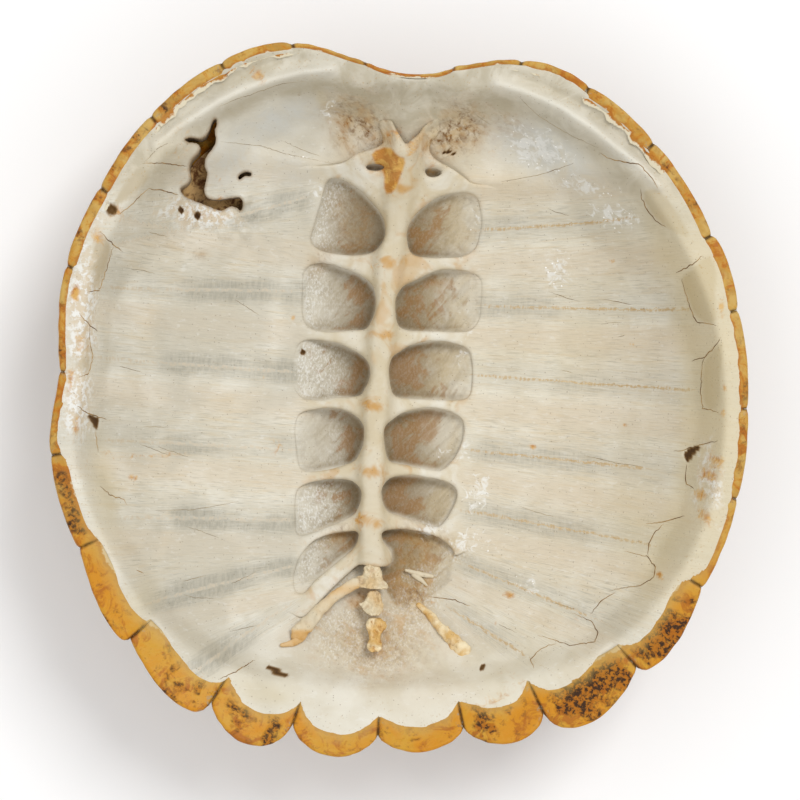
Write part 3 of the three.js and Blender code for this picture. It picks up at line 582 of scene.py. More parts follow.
def insideHeight(x, y):
    angle = angleOf(x, y)
    inset = seamRadius(angle) - np.hypot(x, y)
    nx, ny = slopeOf(outsideHeight, x, y)
    steepness = np.sqrt(1 + nx ** 2 + ny ** 2)
    aside = np.abs(x - form["midline"])
    across = ribPlace(x, y)
    swell = plates["ribSwell"] * np.cos(math.pi * across) * smooth(25, 60, aside)
    signed = sutureDistance(x, y)
    swell = swell + plates["sutureRidge"] * bell(signed, 1.6) * smooth(30, 60, aside)
    swell = swell + plates["fingerRise"] * smooth(1.0, -5, fingerDistance(x, y)) * smooth(60, 110, aside)
    pit = plates["pitDepth"] * pitShare(x, y)
    solid = smooth(0, 12, inset)
    plate = outsideHeight(x, y) + skin * steepness
    plate = plate + (form["boneThickness"] * steepness - pit + swell) * solid - 6 * (1 - solid)
    plate = plate + shoulderHeight(x, y) * besideWindows(x)
    plate = plate + 0.28 * unevenness(x, y, 34, 11) + 0.1 * unevenness(x, y, 12, 12)
    edge = edgeRadius(angle) - np.hypot(x, y)
    bare = smooth(-2.5, 0, edge - hornFold(angle))
    below = plates["underHorn"] + (plates["besideHorn"] - plates["underHorn"]) * bare
    front = np.cos(np.radians(angle))
    ease = plates["frontEase"] * smooth(0.1, 0.75, front) * (1 - nuchalShare(angle))
    flange = flangeHeight(x, y) + ease * softMax(inset - crestDepth(angle), 0, 1.5)
    flange = flange - below + 0.25 * unevenness(x, y, 16, 13) * smooth(6, 12, edge)
    return softMax(plate, flange, 1.5) + sculpted(x, y) * smooth(4, 9, edge)


# Bone of the bowl: rings of points over the inside, round the rim and under the shell.
bowlDetail = {"around": 768, "step": 1.2, "reach": 168.0, "under": 26}


def bowlRings():
    count = bowlDetail["around"] // fewerRows
    step = bowlDetail["step"] * fewerRows
    rows = []
    radius = bowlDetail["reach"]
    while radius > 1.5:
        local = count
        while 2 * math.pi * radius / local < 0.62 * step and local > 24:
            local //= 2
        rows.append((radius / bowlDetail["reach"], local))
        radius -= step
    return rows[::-1]


# Triangles between a ring and one with several times as many points.
def fansBetween(coarse, dense):
    ratio = len(dense) // len(coarse)
    ahead = np.roll(coarse, -1)
    nearer = np.tile(np.arange(ratio), len(coarse)) < ratio / 2
    apex = np.where(nearer, np.repeat(coarse, ratio), np.repeat(ahead, ratio))
    fans = [np.stack([apex, np.roll(dense, -1), dense], 1)]
    if len(coarse) > 1:
        fans.append(np.stack([coarse, ahead, dense[ratio // 2::ratio]], 1))
    return fans


def boneBowl():
    points, faces, rings = [], [], []
    total = 0

    def addRing(x, y, z):
        nonlocal total
        points.append(np.stack([x, y, z], 1))
        rings.append(np.arange(total, total + len(x)))
        total += len(x)

    def inBowl(share, count):
        angle = np.arange(count) * 360 / count - 180
        seam = seamRadius(angle)
        bone = np.minimum(edgeRadius(angle), seam + 0.9 * (edgeRadius(angle) - seam)) - skin - 0.6
        radius = share * seam + (bone - seam) * smooth(0.82, 1, np.full_like(angle, share))
        return angle, radius * np.sin(np.radians(angle)), radius * np.cos(np.radians(angle)), radius

    centre = np.zeros(1)
    addRing(centre, centre, insideHeight(centre, centre))
    rows = bowlRings()
    for share, count in rows:
        _, x, y, _ = inBowl(min(share, 1) * 0.995 if share > 0.99 else share, count)
        addRing(x, y, insideHeight(x, y))
    count = rows[-1][1]
    angle, x, y, radius = inBowl(1, count)
    lip = (outsideHeight(x, y) + flangeHeight(x, y)) / 2
    addRing(x, y, lip)
    inner = radius - 1.2
    for k in range(bowlDetail["under"]):
        share = 1 - (k / (bowlDetail["under"] - 1)) ** 0.9 * 0.985
        x, y = inner * share * np.sin(np.radians(angle)), inner * share * np.cos(np.radians(angle))
        normal = outsideNormal(x, y)
        addRing(x - normal[:, 0] * (skin + 0.1), y - normal[:, 1] * (skin + 0.1),
                outsideHeight(x, y) - normal[:, 2] * (skin + 0.1))
        if len(angle) > 60 and k > 2:
            angle = angle[::2] if k % 4 == 3 else angle
            inner = inner[::2] if k % 4 == 3 else inner
    addRing(centre, centre, outsideHeight(centre, centre) + skin)

    for a, b in zip(rings, rings[1:]):
        if len(a) == len(b):
            a2, b2 = np.roll(a, -1), np.roll(b, -1)
            faces += [np.stack([a, a2, b2], 1), np.stack([a, b2, b], 1)]
        elif len(b) > len(a):
            faces += fansBetween(a, b)
        else:
            faces += [flipped(fans) for fans in fansBetween(b, a)]
    return np.concatenate(points), np.concatenate(faces)


bowlPoints, bowlFaces = boneBowl()
print("bowl", len(bowlPoints), "points", len(bowlFaces), "faces")


# Cuts the worn hole and the small slot beside it through a piece.
def cutHole(piece):
    points, faces = [], []
    draw = np.random.default_rng(3)
    for outline, jitter in ((holeOutline, 0.1), (slotOutline, 0.04)):
        edge = rounded(outline, 2)[::-1]
        edge = edge + draw.normal(0, jitter, edge.shape)
        n, first = len(edge), len(points)
        points += [(x, y, 8) for x, y in edge] + [(x, y, 92) for x, y in edge]
        ring = range(first, first + n)
        faces += [(a, b, b + n, a + n) for a, b in zip(ring, np.roll(ring, -1).tolist())]
        faces += [tuple(reversed(ring)), tuple(i + n for i in ring)]
    mesh = bpy.data.meshes.new("hole_cutter")
    mesh.from_pydata((np.array(points) * millimetre).tolist(), [], faces)
    cutter = bpy.data.objects.new("hole_cutter", mesh)
    bpy.context.scene.collection.objects.link(cutter)
    modifier = piece.modifiers.new("hole", "BOOLEAN")
    modifier.operation, modifier.solver, modifier.object = "DIFFERENCE", "EXACT", cutter
    bpy.context.view_layer.update()
    done = bpy.data.meshes.new_from_object(piece.evaluated_get(bpy.context.evaluated_depsgraph_get()))
    piece.modifiers.remove(modifier)
    piece.data = done
    bpy.data.objects.remove(cutter)


bowl = makePiece("carapace_bowl", bowlPoints, bowlFaces)
cutHole(bowl)
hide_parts("carapace_bone")
print("bowl", len(bowl.data.vertices), "points", len(bowl.data.polygons), "faces")


# Signed distance to where two shapes overlap, with the corner between them rounded.
def roundedBoth(a, b, radius):
    corner = np.hypot(np.maximum(a + radius, 0), np.maximum(b + radius, 0))
    return np.minimum(np.maximum(a, b), -radius) + corner


def blockOf(low, high, pitch):
    steps = [np.arange(low[i], high[i] + pitch, pitch) for i in range(3)]
    return steps, np.array(low, float)


# Backbone with its rib heads and the wall it stands on.
spineForm = {
    "pitch": 0.85,
    "armReach": 49,
    "armDrop": 3.2,
    "armCurve": 1.35,
    "columnDepth": 9,
    "armDepth": 3.4,
    "edgeRound": 2.1,
    "wallHalf": 2.0,
    "wallBlend": 3.0,
    "crownDrop": 1.4,
    "jointSwell": 0.9,
}
jointPlaces = (-80, -59, -34, -1, 33, 70, 105)
brokenFace = rounded([(-18.5, 121.5), (-10, 124.5), (-6, 119.5), (-1.5, 118.5), (-3.5, 111), (-6.5, 102.5),
                      (-11, 102), (-11.5, 113), (-16.5, 116.5)], 1)


def alongSpine(y):
    order = spineLine[np.argsort(spineLine[:, 1])]
    return np.interp(y, order[:, 1], order[:, 0]), np.interp(y, order[:, 1], order[:, 2])


def spineTop(y):
    floor = plainFloor(np.full_like(y, form["midline"]), y)
    return softMax(form["spineHeight"], floor + form["spineClearance"], 5)


# Height of the upper face and depth below it, over the plan of the backbone and its arms.
def spineSurface(x, y):
    centre, half = alongSpine(y)
    aside = np.abs(x - centre)
    crest = spineTop(y)
    base = insideHeight(x, y) + shoulderHeight(x, y) * (1 - besideWindows(x))
    reach = spineForm["armReach"] + (form["midline"] - centre) * np.sign(x - centre)
    t = (aside - 4) / (reach - 4)
    fall = (1 - np.clip(t, 0, 1)) ** spineForm["armCurve"]
    drop = spineForm["armDrop"] * smooth(3, 11, aside)
    swell = sum(bell(y - place, 6) for place in jointPlaces) * spineForm["jointSwell"] * bell(aside, 7)
    skinned = 0.45 * (1 - smooth(0.8, 1.02, t)) - 2.6 * smooth(1.0, 1.25, t)
    top = base + np.maximum(crest - drop - base, 0) * fall + skinned
    top = top - spineForm["crownDrop"] * (np.clip(aside / np.maximum(half, 1), 0, 1.3) ** 2) * bell(aside, 14)
    top = top + swell - 6.5 * smooth(119, 138, y)
    broken = smooth(0.5, -1.5, outlineDistance(x, y, brokenFace))
    top = top - broken * (0.9 + 0.8 * unevenness(x, y, 5, 41))
    thinning = smooth(5, 24, aside)
    depth = spineForm["columnDepth"] + (spineForm["armDepth"] - spineForm["columnDepth"]) * thinning
    return top, depth * (1 - 0.45 * smooth(119, 138, y))


def spinePiece():
    pitch = spineForm["pitch"] * widerCells
    (xs, ys, zs), origin = blockOf((-62, -110, 3), (54, 142, 72), pitch)
    x, y = np.meshgrid(xs, ys, indexing="ij")
    opening = np.minimum(windowDistance(x, y), np.minimum(outlineDistance(x, y, frontEdge),
                                                          outlineDistance(x, y, rearEdge)))
    plan = np.maximum(-opening, np.abs(x - form["midline"]) - 55)
    plan = plan + 0.35 * unevenness(x, y, 13, 21)
    top, depth = spineSurface(x, y)
    gx, gy = np.gradient(top, pitch)
    steep = np.sqrt(1 + np.minimum(gx ** 2 + gy ** 2, 2))
    centre, _ = alongSpine(y)
    floor = plainFloor(x, y)
    field = np.empty(x.shape + zs.shape, np.float32)
    for k, z in enumerate(zs):
        upper, lower = (z - top) / steep, (top - depth - z) / steep
        radius = np.minimum(spineForm["edgeRound"], depth / 2 - 0.1)
        sheet = roundedBoth(plan, np.maximum(upper, lower), radius)
        wide = spineForm["wallHalf"] + 1.2 * bell(z - floor, 5)
        wall = np.maximum(np.abs(x - centre) - wide, np.maximum(z - top + 3, floor - 2.5 - z))
        wall = np.maximum(wall, np.maximum(y - 123, -79 - y))
        field[:, :, k] = softMin(sheet, wall, spineForm["wallBlend"])
    return fieldSurface(field, origin, pitch)


spine = makePiece("backbone", *spinePiece())
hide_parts("carapace_bone")
print("backbone", len(spine.data.vertices), "points", len(spine.data.polygons), "faces")


# A thin closed plate from a grid of outer points: the inner side lies a given depth behind each.
def plateMesh(outer, inner):
    rows, columns = outer.shape[:2]
    index = np.arange(rows * columns).reshape(rows, columns)
    a, b = index[:-1, :-1].ravel(), index[:-1, 1:].ravel()
    c, d = index[1:, 1:].ravel(), index[1:, :-1].ravel()
    front = np.stack([a, b, c, d], 1)
    back = np.stack([a, d, c, b], 1) + rows * columns
    border = np.concatenate([index[0, :-1], index[:-1, -1], index[-1, :0:-1], index[:0:-1, 0]])
    after = np.roll(border, -1)
    side = np.stack([after, border, border + rows * columns, after + rows * columns], 1)
    points = np.concatenate([outer.reshape(-1, 3), inner.reshape(-1, 3)])
    return points, np.concatenate([front, back, side])


# Rim scutes: how fine they are, and how the horn thins out and wears at the end of its fold.
rimScute = {
    "along": 44,
    "outsideRows": 12,
    "lipRows": 8,
    "foldRows": 16,
    "wornReach": 2.6,
    "wornEdge": 1.8,
    "edgeThickness": 0.12,
    "seamDip": 0.55,
    "seamHalf": 0.06,
    "underSeam": 0.06,
    "lipRound": 1.7,
    "growthDepth": 0.22,
    "growthStep": 3.1,
    "typicalRadius": 165,
}


def rimScutePiece(index):
    start = rim[index, 0]
    end = rim[index + 1, 0] if index + 1 < len(rim) else rim[0, 0] + 360
    count = rimScute["along"] // fewerRows
    t = np.linspace(0, 1, count + 1)
    slack = np.degrees(rimScute["seamHalf"] / rimScute["typicalRadius"])
    angle = np.clip(start + (end - start) * t, start + slack, end - slack)
    sin, cos = np.sin(np.radians(angle)), np.cos(np.radians(angle))
    seam, edge = seamRadius(angle), edgeRadius(angle)
    wear = rimScute["wornEdge"] * unevenness(angle * 2.9, angle * 0, 9, 60)
    wear = wear + 0.9 * unevenness(angle * 2.9, angle * 0, 3.5, 61)
    fold = hornFold(angle) + rimScute["wornReach"] + wear
    foldEnd = np.maximum(edge - fold, seam - crestDepth(angle) + 2.2)
    foldEnd = np.minimum(foldEnd, edge - 2.6)
    begin = form["marginalStart"] * seam + rimScute["underSeam"]
    lip = rimScute["lipRound"]

    def at(radius):
        return radius * sin, radius * cos

    radii, heights, hornLeft = [], [], []
    for s in np.linspace(0, 1, rimScute["outsideRows"]):
        radius = begin + (edge - lip - begin) * s
        radii.append(radius)
        heights.append(outsideHeight(*at(radius)))
        hornLeft.append(np.full_like(radius, 40.0))
    low, high = outsideHeight(*at(edge - lip)), flangeHeight(*at(edge - lip))
    for s in np.linspace(0, 1, rimScute["lipRows"] + 2)[1:-1]:
        turn = math.pi * (s - 0.5)
        radii.append(edge - lip + lip * max(0.0, math.cos(turn)) ** 0.7)
        heights.append((low + high) / 2 + (high - low) / 2 * math.sin(turn))
        hornLeft.append(edge - foldEnd)
    for s in np.linspace(0, 1, rimScute["foldRows"]):
        radius = edge - lip + (foldEnd - edge + lip) * s
        radii.append(radius)
        heights.append(flangeHeight(*at(radius)))
        hornLeft.append(radius - foldEnd)
    radii, heights, hornLeft = np.array(radii), np.array(heights), np.array(hornLeft)
    dr, dz = np.gradient(radii, axis=0), np.gradient(heights, axis=0)
    size = np.maximum(np.hypot(dr, dz), 1e-6)
    normalR, normalZ = dz / size, -dr / size
    besideSeam = np.minimum(t, 1 - t) * (end - start) * math.pi / 180 * rimScute["typicalRadius"]
    dip = rimScute["seamDip"] * bell(besideSeam, 1.4)[None] * np.ones_like(radii)
    outward = np.arange(len(radii))[:, None] < rimScute["outsideRows"] + rimScute["lipRows"]
    wavy = radii + 2.2 * unevenness(radii, angle * 3 + 0 * radii, 40, 62 + index)
    growth = rimScute["growthDepth"] * (0.5 + 0.5 * np.sin(2 * math.pi * wavy / rimScute["growthStep"]))
    lumps = 0.25 * (1 + unevenness(radii, np.broadcast_to(angle * 2.9, radii.shape), 11, 63 + index))
    dip = dip + growth * np.where(outward, 1, 0.4) + lumps * np.where(outward, 1, 0.5)
    dip = dip * smooth(0, 5, hornLeft)
    whole = smooth(0, 4.5, hornLeft)
    thick = rimScute["edgeThickness"] + (form["hornThickness"] - rimScute["edgeThickness"]) * whole
    folded = np.arange(len(radii))[:, None] >= rimScute["outsideRows"] + rimScute["lipRows"]
    settle = np.where(folded, 0.42 * (1 - whole), 0)
    outerR, outerZ = radii - normalR * dip, heights - normalZ * dip - settle
    innerR, innerZ = outerR - normalR * thick, outerZ - normalZ * thick
    outer = np.stack([outerR * sin, outerR * cos, outerZ], -1)
    inner = np.stack([innerR * sin, innerR * cos, innerZ], -1)
    points, faces = plateMesh(outer, inner)
    brown = 0.75 * smooth(1.5, 7, besideSeam)[None] * smooth(0.5, 5, hornLeft) * smooth(34, 14, edge - radii)
    values = {
        "hornLeft": np.tile(hornLeft.ravel(), 2),
        "besideSeam": np.tile(np.broadcast_to(besideSeam, radii.shape).ravel(), 2),
        "browning": np.tile((rimBrowning[index] * (0.25 + brown)).ravel(), 2),
    }
    return points, flipped(faces), values


# Dark brown wear on each rim scute, from 0 to 1, in the order of the seams.
rimBrowning = [0.3, 0.6, 0.55, 0.6, 0.55, 0.4, 0.5, 0.75, 0.4, 0.5, 0.35, 0.15,
               0.1, 0.1, 0.2, 0.3, 0.55, 0.7, 0.35, 0.35, 0.8, 0.95, 0.95, 0.9, 0.6]

rimScutes = []
for index, name in enumerate(rimNames):
    node = "nuchal_scute" if name == "nuchal" else "marginal_scute_" + name
    piece = makePiece("rim_" + name, *rimScutePiece(index))
    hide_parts(node)
    rimScutes.append(piece)
print("rim scutes", len(rimScutes))

# Scutes under the shell: front, back and three half widths of each vertebral scute, and the angles
# between the costal scutes.
vertebrals = [(143, 88, 50.3, 47, 31), (88, 30, 31, 43, 31), (30, -28, 31, 45, 31), (-28, -84, 31, 42, 25),
              (-84, -136, 25, 40, 54)]
costalAngles = {"right": (-21, -59, -88, -118, -157), "left": (17.7, 57, 89, 119, 161)}
underScute = {
    "grid": 56,
    "gap": 0.45,
    "rimGap": 0.03,
    "ringDepth": 0.26,
    "ringCount": 11,
    "rayDepth": 0.3,
    "rayCount": 15,
    "knobAcross": 30,
    "knobAlong": 21,
}


def insideRing(x, y):
    angle = angleOf(x, y)
    limit = form["marginalStart"] * seamRadius(angle) - underScute["rimGap"]
    share = np.minimum(1, limit / np.maximum(np.hypot(x, y), 1e-6))
    return x * share, y * share


def gridOf(count):
    return np.meshgrid(np.linspace(0, 1, count + 1), np.linspace(0, 1, count + 1))


# The horn plate over a grid of places, with growth rings and rays round its oldest point worn into it.
def underScutePiece(x, y, knob, oldest, seed):
    s, t = gridOf(x.shape[0] - 1)
    rings = np.maximum(np.abs(s - oldest[0]) / np.where(s > oldest[0], 1 - oldest[0], oldest[0]),
                       np.abs(t - oldest[1]) / np.where(t > oldest[1], 1 - oldest[1], oldest[1]))
    rings = rings + 0.05 * unevenness(x, y, 24, seed)
    turn = np.arctan2(t - oldest[1], s - oldest[0])
    edge = np.minimum(np.minimum(s, 1 - s), np.minimum(t, 1 - t))
    ringWave = np.cos(2 * math.pi * rings * underScute["ringCount"])
    rayWave = np.cos(turn * underScute["rayCount"] + 3 * rings)
    groove = underScute["ringDepth"] * (0.5 - 0.5 * ringWave) ** 2
    ray = underScute["rayDepth"] * (0.5 + 0.5 * rayWave) * smooth(0.1, 0.5, rings)
    dip = groove * smooth(0.05, 0.3, rings) + ray + 0.35 * bell(edge, 0.02)
    dip = dip * (1 - 0.75 * smooth(0.5, 1.8, knob))
    normal = outsideNormal(x, y)
    z = outsideHeight(x, y)
    base = np.stack([x, y, z], -1)
    outer = base - normal * dip[..., None]
    outer[..., 2] -= knob
    inner = base - normal * form["hornThickness"]
    points, faces = plateMesh(outer, inner)
    values = {
        "ringPlace": np.tile(rings.ravel(), 2),
        "knob": np.tile(knob.ravel() / form["keelKnob"], 2),
    }
    a, b, c = points[faces[len(faces) // 4][:3]]
    facesUp = np.cross(b - a, c - a)[2] > 0
    return points, flipped(faces) if facesUp else faces, values


def knobHeight(x, y, centre):
    away = np.hypot((x - form["midline"]) / underScute["knobAcross"], (y - centre) / underScute["knobAlong"])
    return form["keelKnob"] * (1 - smooth(0.75, 1.4, away))


underScutes = []
count = underScute["grid"] // fewerRows
for i, (front, back, halfFront, halfMiddle, halfBack) in enumerate(vertebrals):
    s, t = gridOf(count)
    y = front - underScute["gap"] + (back - front + 2 * underScute["gap"]) * t
    half = np.where(t < 0.5, halfFront + (halfMiddle - halfFront) * 2 * t,
                    halfMiddle + (halfBack - halfMiddle) * (2 * t - 1))
    half = half - underScute["gap"]
    x, y = insideRing(form["midline"] + half * (2 * s - 1), y)
    piece = makePiece("under_vertebral_%d" % (i + 1),
                      *underScutePiece(x, y, knobHeight(x, y, (front + back) / 2), (0.5, 0.72), 70 + i))
    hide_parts("vertebral_scute_%d" % (i + 1))
    underScutes.append(piece)
for side, sign in (("left", 1), ("right", -1)):
    for i in range(4):
        first, second = vertebrals[i], vertebrals[i + 1]
        kinks = [(form["midline"] + sign * first[3], (first[0] + first[1]) / 2),
                 (form["midline"] + sign * first[4], first[1]),
                 (form["midline"] + sign * second[3], (second[0] + second[1]) / 2)]
        s, t = gridOf(count)
        along = 0.004 + 0.992 * t
        share = np.where(along < 0.5, 2 * along, 2 * along - 1)
        ends = [np.where(along < 0.5, kinks[0][k] + (kinks[1][k] - kinks[0][k]) * share,
                         kinks[1][k] + (kinks[2][k] - kinks[1][k]) * share) for k in (0, 1)]
        angle = costalAngles[side][i] + (costalAngles[side][i + 1] - costalAngles[side][i]) * along
        radius = form["marginalStart"] * seamRadius(angle)
        across = 0.012 + 0.988 * s
        x = ends[0] + (radius * np.sin(np.radians(angle)) - ends[0]) * across
        y = ends[1] + (radius * np.cos(np.radians(angle)) - ends[1]) * across
        x, y = insideRing(x, y)
        piece = makePiece("under_costal_%s_%d" % (side, i + 1),
                          *underScutePiece(x, y, np.zeros_like(x), (0.25, 0.62), 80 + 5 * i + sign))
        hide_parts("costal_scute_%s_%d" % (side, i + 1))
        underScutes.append(piece)
print("scutes under the shell", len(underScutes))


# Bones that lie loose behind the backbone: outline from above and height.
loosePitch = 0.36
looseMiddle = -7.5
looseForm = {
    "sacral_vertebra_1": {
        "outline": [(-13.5, -80.6), (-10.5, -79.4), (-7, -79.4), (-5, -81), (-4.2, -85.3), (-3.6, -87.1),
                    (-1.2, -88.6), (-1.2, -91), (-4.9, -91.2), (-12, -91.2), (-14.6, -90.8), (-17, -91),
                    (-19.9, -89.4), (-20.3, -87), (-17.2, -84.7), (-14.2, -85), (-13.6, -83.2)],
        "tall": 12.5, "seed": 31,
    },
    "sacral_vertebra_2": {
        "outline": [(-11.1, -92.2), (-5.3, -92.0), (-4.3, -96.1), (-2.9, -99.2), (-4.2, -102.5), (-7, -103.9),
                    (-10.1, -103.7), (-12.2, -102.4), (-14.3, -100.1), (-16.9, -97.9), (-13.1, -97.6),
                    (-11.5, -95.4)],
        "tall": 11.5, "seed": 32,
    },
    "tail_vertebra": {
        "outline": [(-11.4, -106.2), (-9.6, -105), (-5, -104.8), (-3.3, -105.9), (-1.2, -107.5),
                    (-1.6, -109.8), (-4.3, -111.9), (-4.7, -114.7), (-3.7, -117), (-4.5, -120.2),
                    (-10, -120.6), (-11.3, -117.9), (-10.1, -115.3), (-10.1, -112.5), (-11.8, -109.4)],
        "tall": 11, "seed": 33,
    },
}


def loosePiece(outline, tall, seed):
    edge = rounded(outline, 1)
    low, high = edge.min(0) - 2, edge.max(0) + 2
    pitch = loosePitch * widerCells
    centre = edge.mean(0)
    ground = float(plainFloor(np.array([centre[0]]), np.array([centre[1]]))[0])
    (xs, ys, zs), origin = blockOf((*low, ground - 5), (*high, ground + tall + 7), pitch)
    x, y = np.meshgrid(xs, ys, indexing="ij")
    plan = outlineDistance(x, y, edge) + 0.42 * unevenness(x, y, 2.2, seed + 3)
    plan = plan + 0.22 * unevenness(x, y, 1.3, seed + 7)
    foot = insideHeight(x, y) + 0.8
    aside = x - looseMiddle
    middle = np.abs(aside)
    share = (y - low[1] - 2) / (high[1] - low[1] - 4)
    top = foot + tall - 0.055 * middle ** 1.9 - 2.2 * bell(share - 0.5, 0.28)
    top = top - 1.6 * bell(aside, 1.6) * bell(share - 0.9, 0.25)
    top = top + 1.8 * unevenness(x, y, 3.4, seed) + 0.9 * unevenness(x, y, 1.8, seed + 5)
    field = np.empty(x.shape + zs.shape, np.float32)
    for k, z in enumerate(zs):
        rise = (z - foot) / tall
        tuck = 3.4 * (1 - smooth(0.1, 0.7, rise)) * smooth(2.5, 6, middle)
        tuck = tuck + 0.8 * (1 - smooth(0.1, 0.55, rise))
        field[:, :, k] = roundedBoth(plan + tuck, np.maximum(z - top, foot - z), 1.0)
        ripple = 0.28 * np.sin(x * 2.3 + seed) * np.sin(y * 2.1 + z * 1.6)
        field[:, :, k] += ripple * np.sin(z * 1.9 + seed * 2)
    return fieldSurface(field, origin, pitch)


looseBones = []
for name, shape in looseForm.items():
    piece = makePiece("loose_" + name, *loosePiece(**shape))
    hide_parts(name)
    looseBones.append(piece)

# Thin bones along a path: the broken sacral rib, its splinter, the stump of the hip ridge and a sliver
# of rib. Each has its path, height over the bowl, half width and half thickness.
thinPitch = 0.4
thinBones = {
    "sacral_rib": {
        "path": [(-17.6, -89.2), (-26.2, -94.6), (-34, -102), (-40.2, -109), (-44.2, -113.4)],
        "above": (9.5, 6.5, 4.5, 4.2, 3.6), "half": (3.0, 2.6, 3.0, 3.7, 4.2), "high": 1.6, "rough": 0.35,
        "seed": 35,
    },
    "rib_splinter": {
        "path": [(-43.2, -115.8), (-47, -118), (-52.4, -119.2)],
        "above": (1.8, 1.5, 1.2), "half": (2.2, 1.8, 0.9), "high": 0.9, "rough": 0.2, "seed": 36,
    },
    "hip_ridge_stump": {
        "path": [(14.4, -98.4), (19.3, -102.4), (24.3, -108.4), (29.8, -112.6), (35.9, -118.9)],
        "above": (0.2, 0.8, 1.2, 1.2, 0.4), "half": (1.4, 1.9, 2.4, 3.4, 3.6), "high": 1.7, "rough": 0.75,
        "seed": 37,
    },
    "rib_sliver": {
        "path": [(7.6, -82.2), (14, -83.9), (20.8, -84.6)],
        "above": (2.2, 1.6, 0.8), "half": (0.8, 1.5, 1.0), "high": 0.9, "rough": 0.2, "seed": 38,
    },
    "rib_sliver_end": {
        "path": [(11.5, -84), (15, -86.4), (18.2, -89.2)],
        "above": (1.4, 0.8, 0.2), "half": (1.4, 1.3, 0.6), "high": 0.9, "rough": 0.2, "seed": 39,
    },
}


def thinPiece(path, above, half, high, rough, seed):
    path = np.array(path, float)
    last = len(path) - 1
    share = np.linspace(0, last, 8 * last + 1)
    line = np.stack([np.interp(share, range(last + 1), path[:, k]) for k in (0, 1)], 1)
    for _ in range(3):
        line[1:-1] = (line[:-2] + 2 * line[1:-1] + line[2:]) / 4
    width = np.interp(share, range(last + 1), half)
    height = insideHeight(line[:, 0], line[:, 1]) + np.interp(share, range(last + 1), above)
    pitch = thinPitch * widerCells
    margin = max(half) + 2
    (xs, ys, zs), origin = blockOf((*(line.min(0) - margin), height.min() - high - 2),
                                   (*(line.max(0) + margin), height.max() + high + 2), pitch)
    x, y, z = np.meshgrid(xs, ys, zs, indexing="ij")
    field = np.full(x.shape, 50.0)
    for i in range(len(line) - 1):
        far, t = segmentDistance(x, y, line[i], line[i + 1])
        wide = width[i] + (width[i + 1] - width[i]) * t
        rise = (z - height[i] - (height[i + 1] - height[i]) * t) * wide / high
        field = np.minimum(field, (np.hypot(far, rise) - wide) * high / wide)
    field += rough * unevenness(x, y + 0.6 * z, 4.5, seed) + 0.4 * rough * unevenness(x, y + z, 2, seed + 9)
    return fieldSurface(field, origin, pitch)


for name, shape in thinBones.items():
    piece = makePiece(name, *thinPiece(**shape))
    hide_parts("sacral_rib_right" if name in ("sacral_rib", "rib_splinter") else "carapace_bone")
    looseBones.append(piece)
print("loose bones", [len(piece.data.polygons) for piece in looseBones])


# Small helpers for building materials.
def addNode(tree, kind, inputs=None, **settings):
    node = tree.nodes.new(kind)
    for key, value in settings.items():
        setattr(node, key, value)
    for key, value in (inputs or {}).items():
        if isinstance(value, bpy.types.NodeSocket):
            tree.links.new(value, node.inputs[key])
        else:
            node.inputs[key].default_value = value
    return node


# The tree that the given sockets belong to.
def treeOf(*values):
    return next(value.id_data for value in values if isinstance(value, bpy.types.NodeSocket))


def maths(operation, a, b=0.0):
    return addNode(treeOf(a, b), "ShaderNodeMath", {0: a, 1: b}, operation=operation).outputs[0]


def times(a, b):
    return maths("MULTIPLY", a, b)


def plus(a, b):
    return maths("ADD", a, b)


def minus(a, b):
    return maths("SUBTRACT", a, b)


def between(value, low, high, start=0.0, end=1.0):
    return addNode(treeOf(value), "ShaderNodeMapRange", {0: value, 1: low, 2: high, 3: start, 4: end},
                   interpolation_type="SMOOTHSTEP").outputs[0]


def mixed(share, a, b):
    return addNode(treeOf(share, a, b), "ShaderNodeMix", {0: share, 6: a, 7: b}, data_type="RGBA").outputs[2]


def grained(place, scale, detail=4.0, roughness=0.55, distortion=0.0):
    return addNode(treeOf(place), "ShaderNodeTexNoise",
                   {"Vector": place, "Scale": scale, "Detail": detail, "Roughness": roughness,
                    "Distortion": distortion}).outputs["Fac"]


def pointValue(tree, name):
    return addNode(tree, "ShaderNodeAttribute", attribute_name=name).outputs["Fac"]


def stretched(place, scale):
    return addNode(treeOf(place), "ShaderNodeMapping", {"Vector": place, "Scale": scale}).outputs[0]


def joined(x, y, z):
    return addNode(treeOf(x, y, z), "ShaderNodeCombineXYZ", {0: x, 1: y, 2: z}).outputs[0]


def objectPlace(tree):
    return addNode(tree, "ShaderNodeTexCoord").outputs["Object"]


def tone(red, green, blue):
    linear = [((v / 255 + 0.055) / 1.055) ** 2.4 if v > 10 else v / 255 / 12.92 for v in (red, green, blue)]
    return (*linear, 1.0)


def startMaterial(name):
    material = bpy.data.materials.new(name)
    material.use_nodes = True
    material.node_tree.nodes.clear()
    return material, material.node_tree


def finishMaterial(tree, colour, roughness, normal=None, shine=0.5):
    inputs = {"Base Color": colour, "Roughness": roughness, "Specular IOR Level": shine}
    if normal is not None:
        inputs["Normal"] = normal
    shader = addNode(tree, "ShaderNodeBsdfPrincipled", inputs)
    addNode(tree, "ShaderNodeOutputMaterial", {"Surface": shader.outputs[0]})


def raised(height, strength, distance):
    inputs = {"Height": height, "Strength": strength, "Distance": distance}
    return addNode(treeOf(height), "ShaderNodeBump", inputs).outputs[0]


def startGroup(name, inputs, outputs):
    group = bpy.data.node_groups.new(name, "ShaderNodeTree")
    for label, kind, value in inputs:
        socket = group.interface.new_socket(label, in_out="INPUT", socket_type=kind)
        if value is not None:
            socket.default_value = value
    for label, kind in outputs:
        group.interface.new_socket(label, in_out="OUTPUT", socket_type=kind)
    return group, group.nodes.new("NodeGroupInput"), group.nodes.new("NodeGroupOutput")


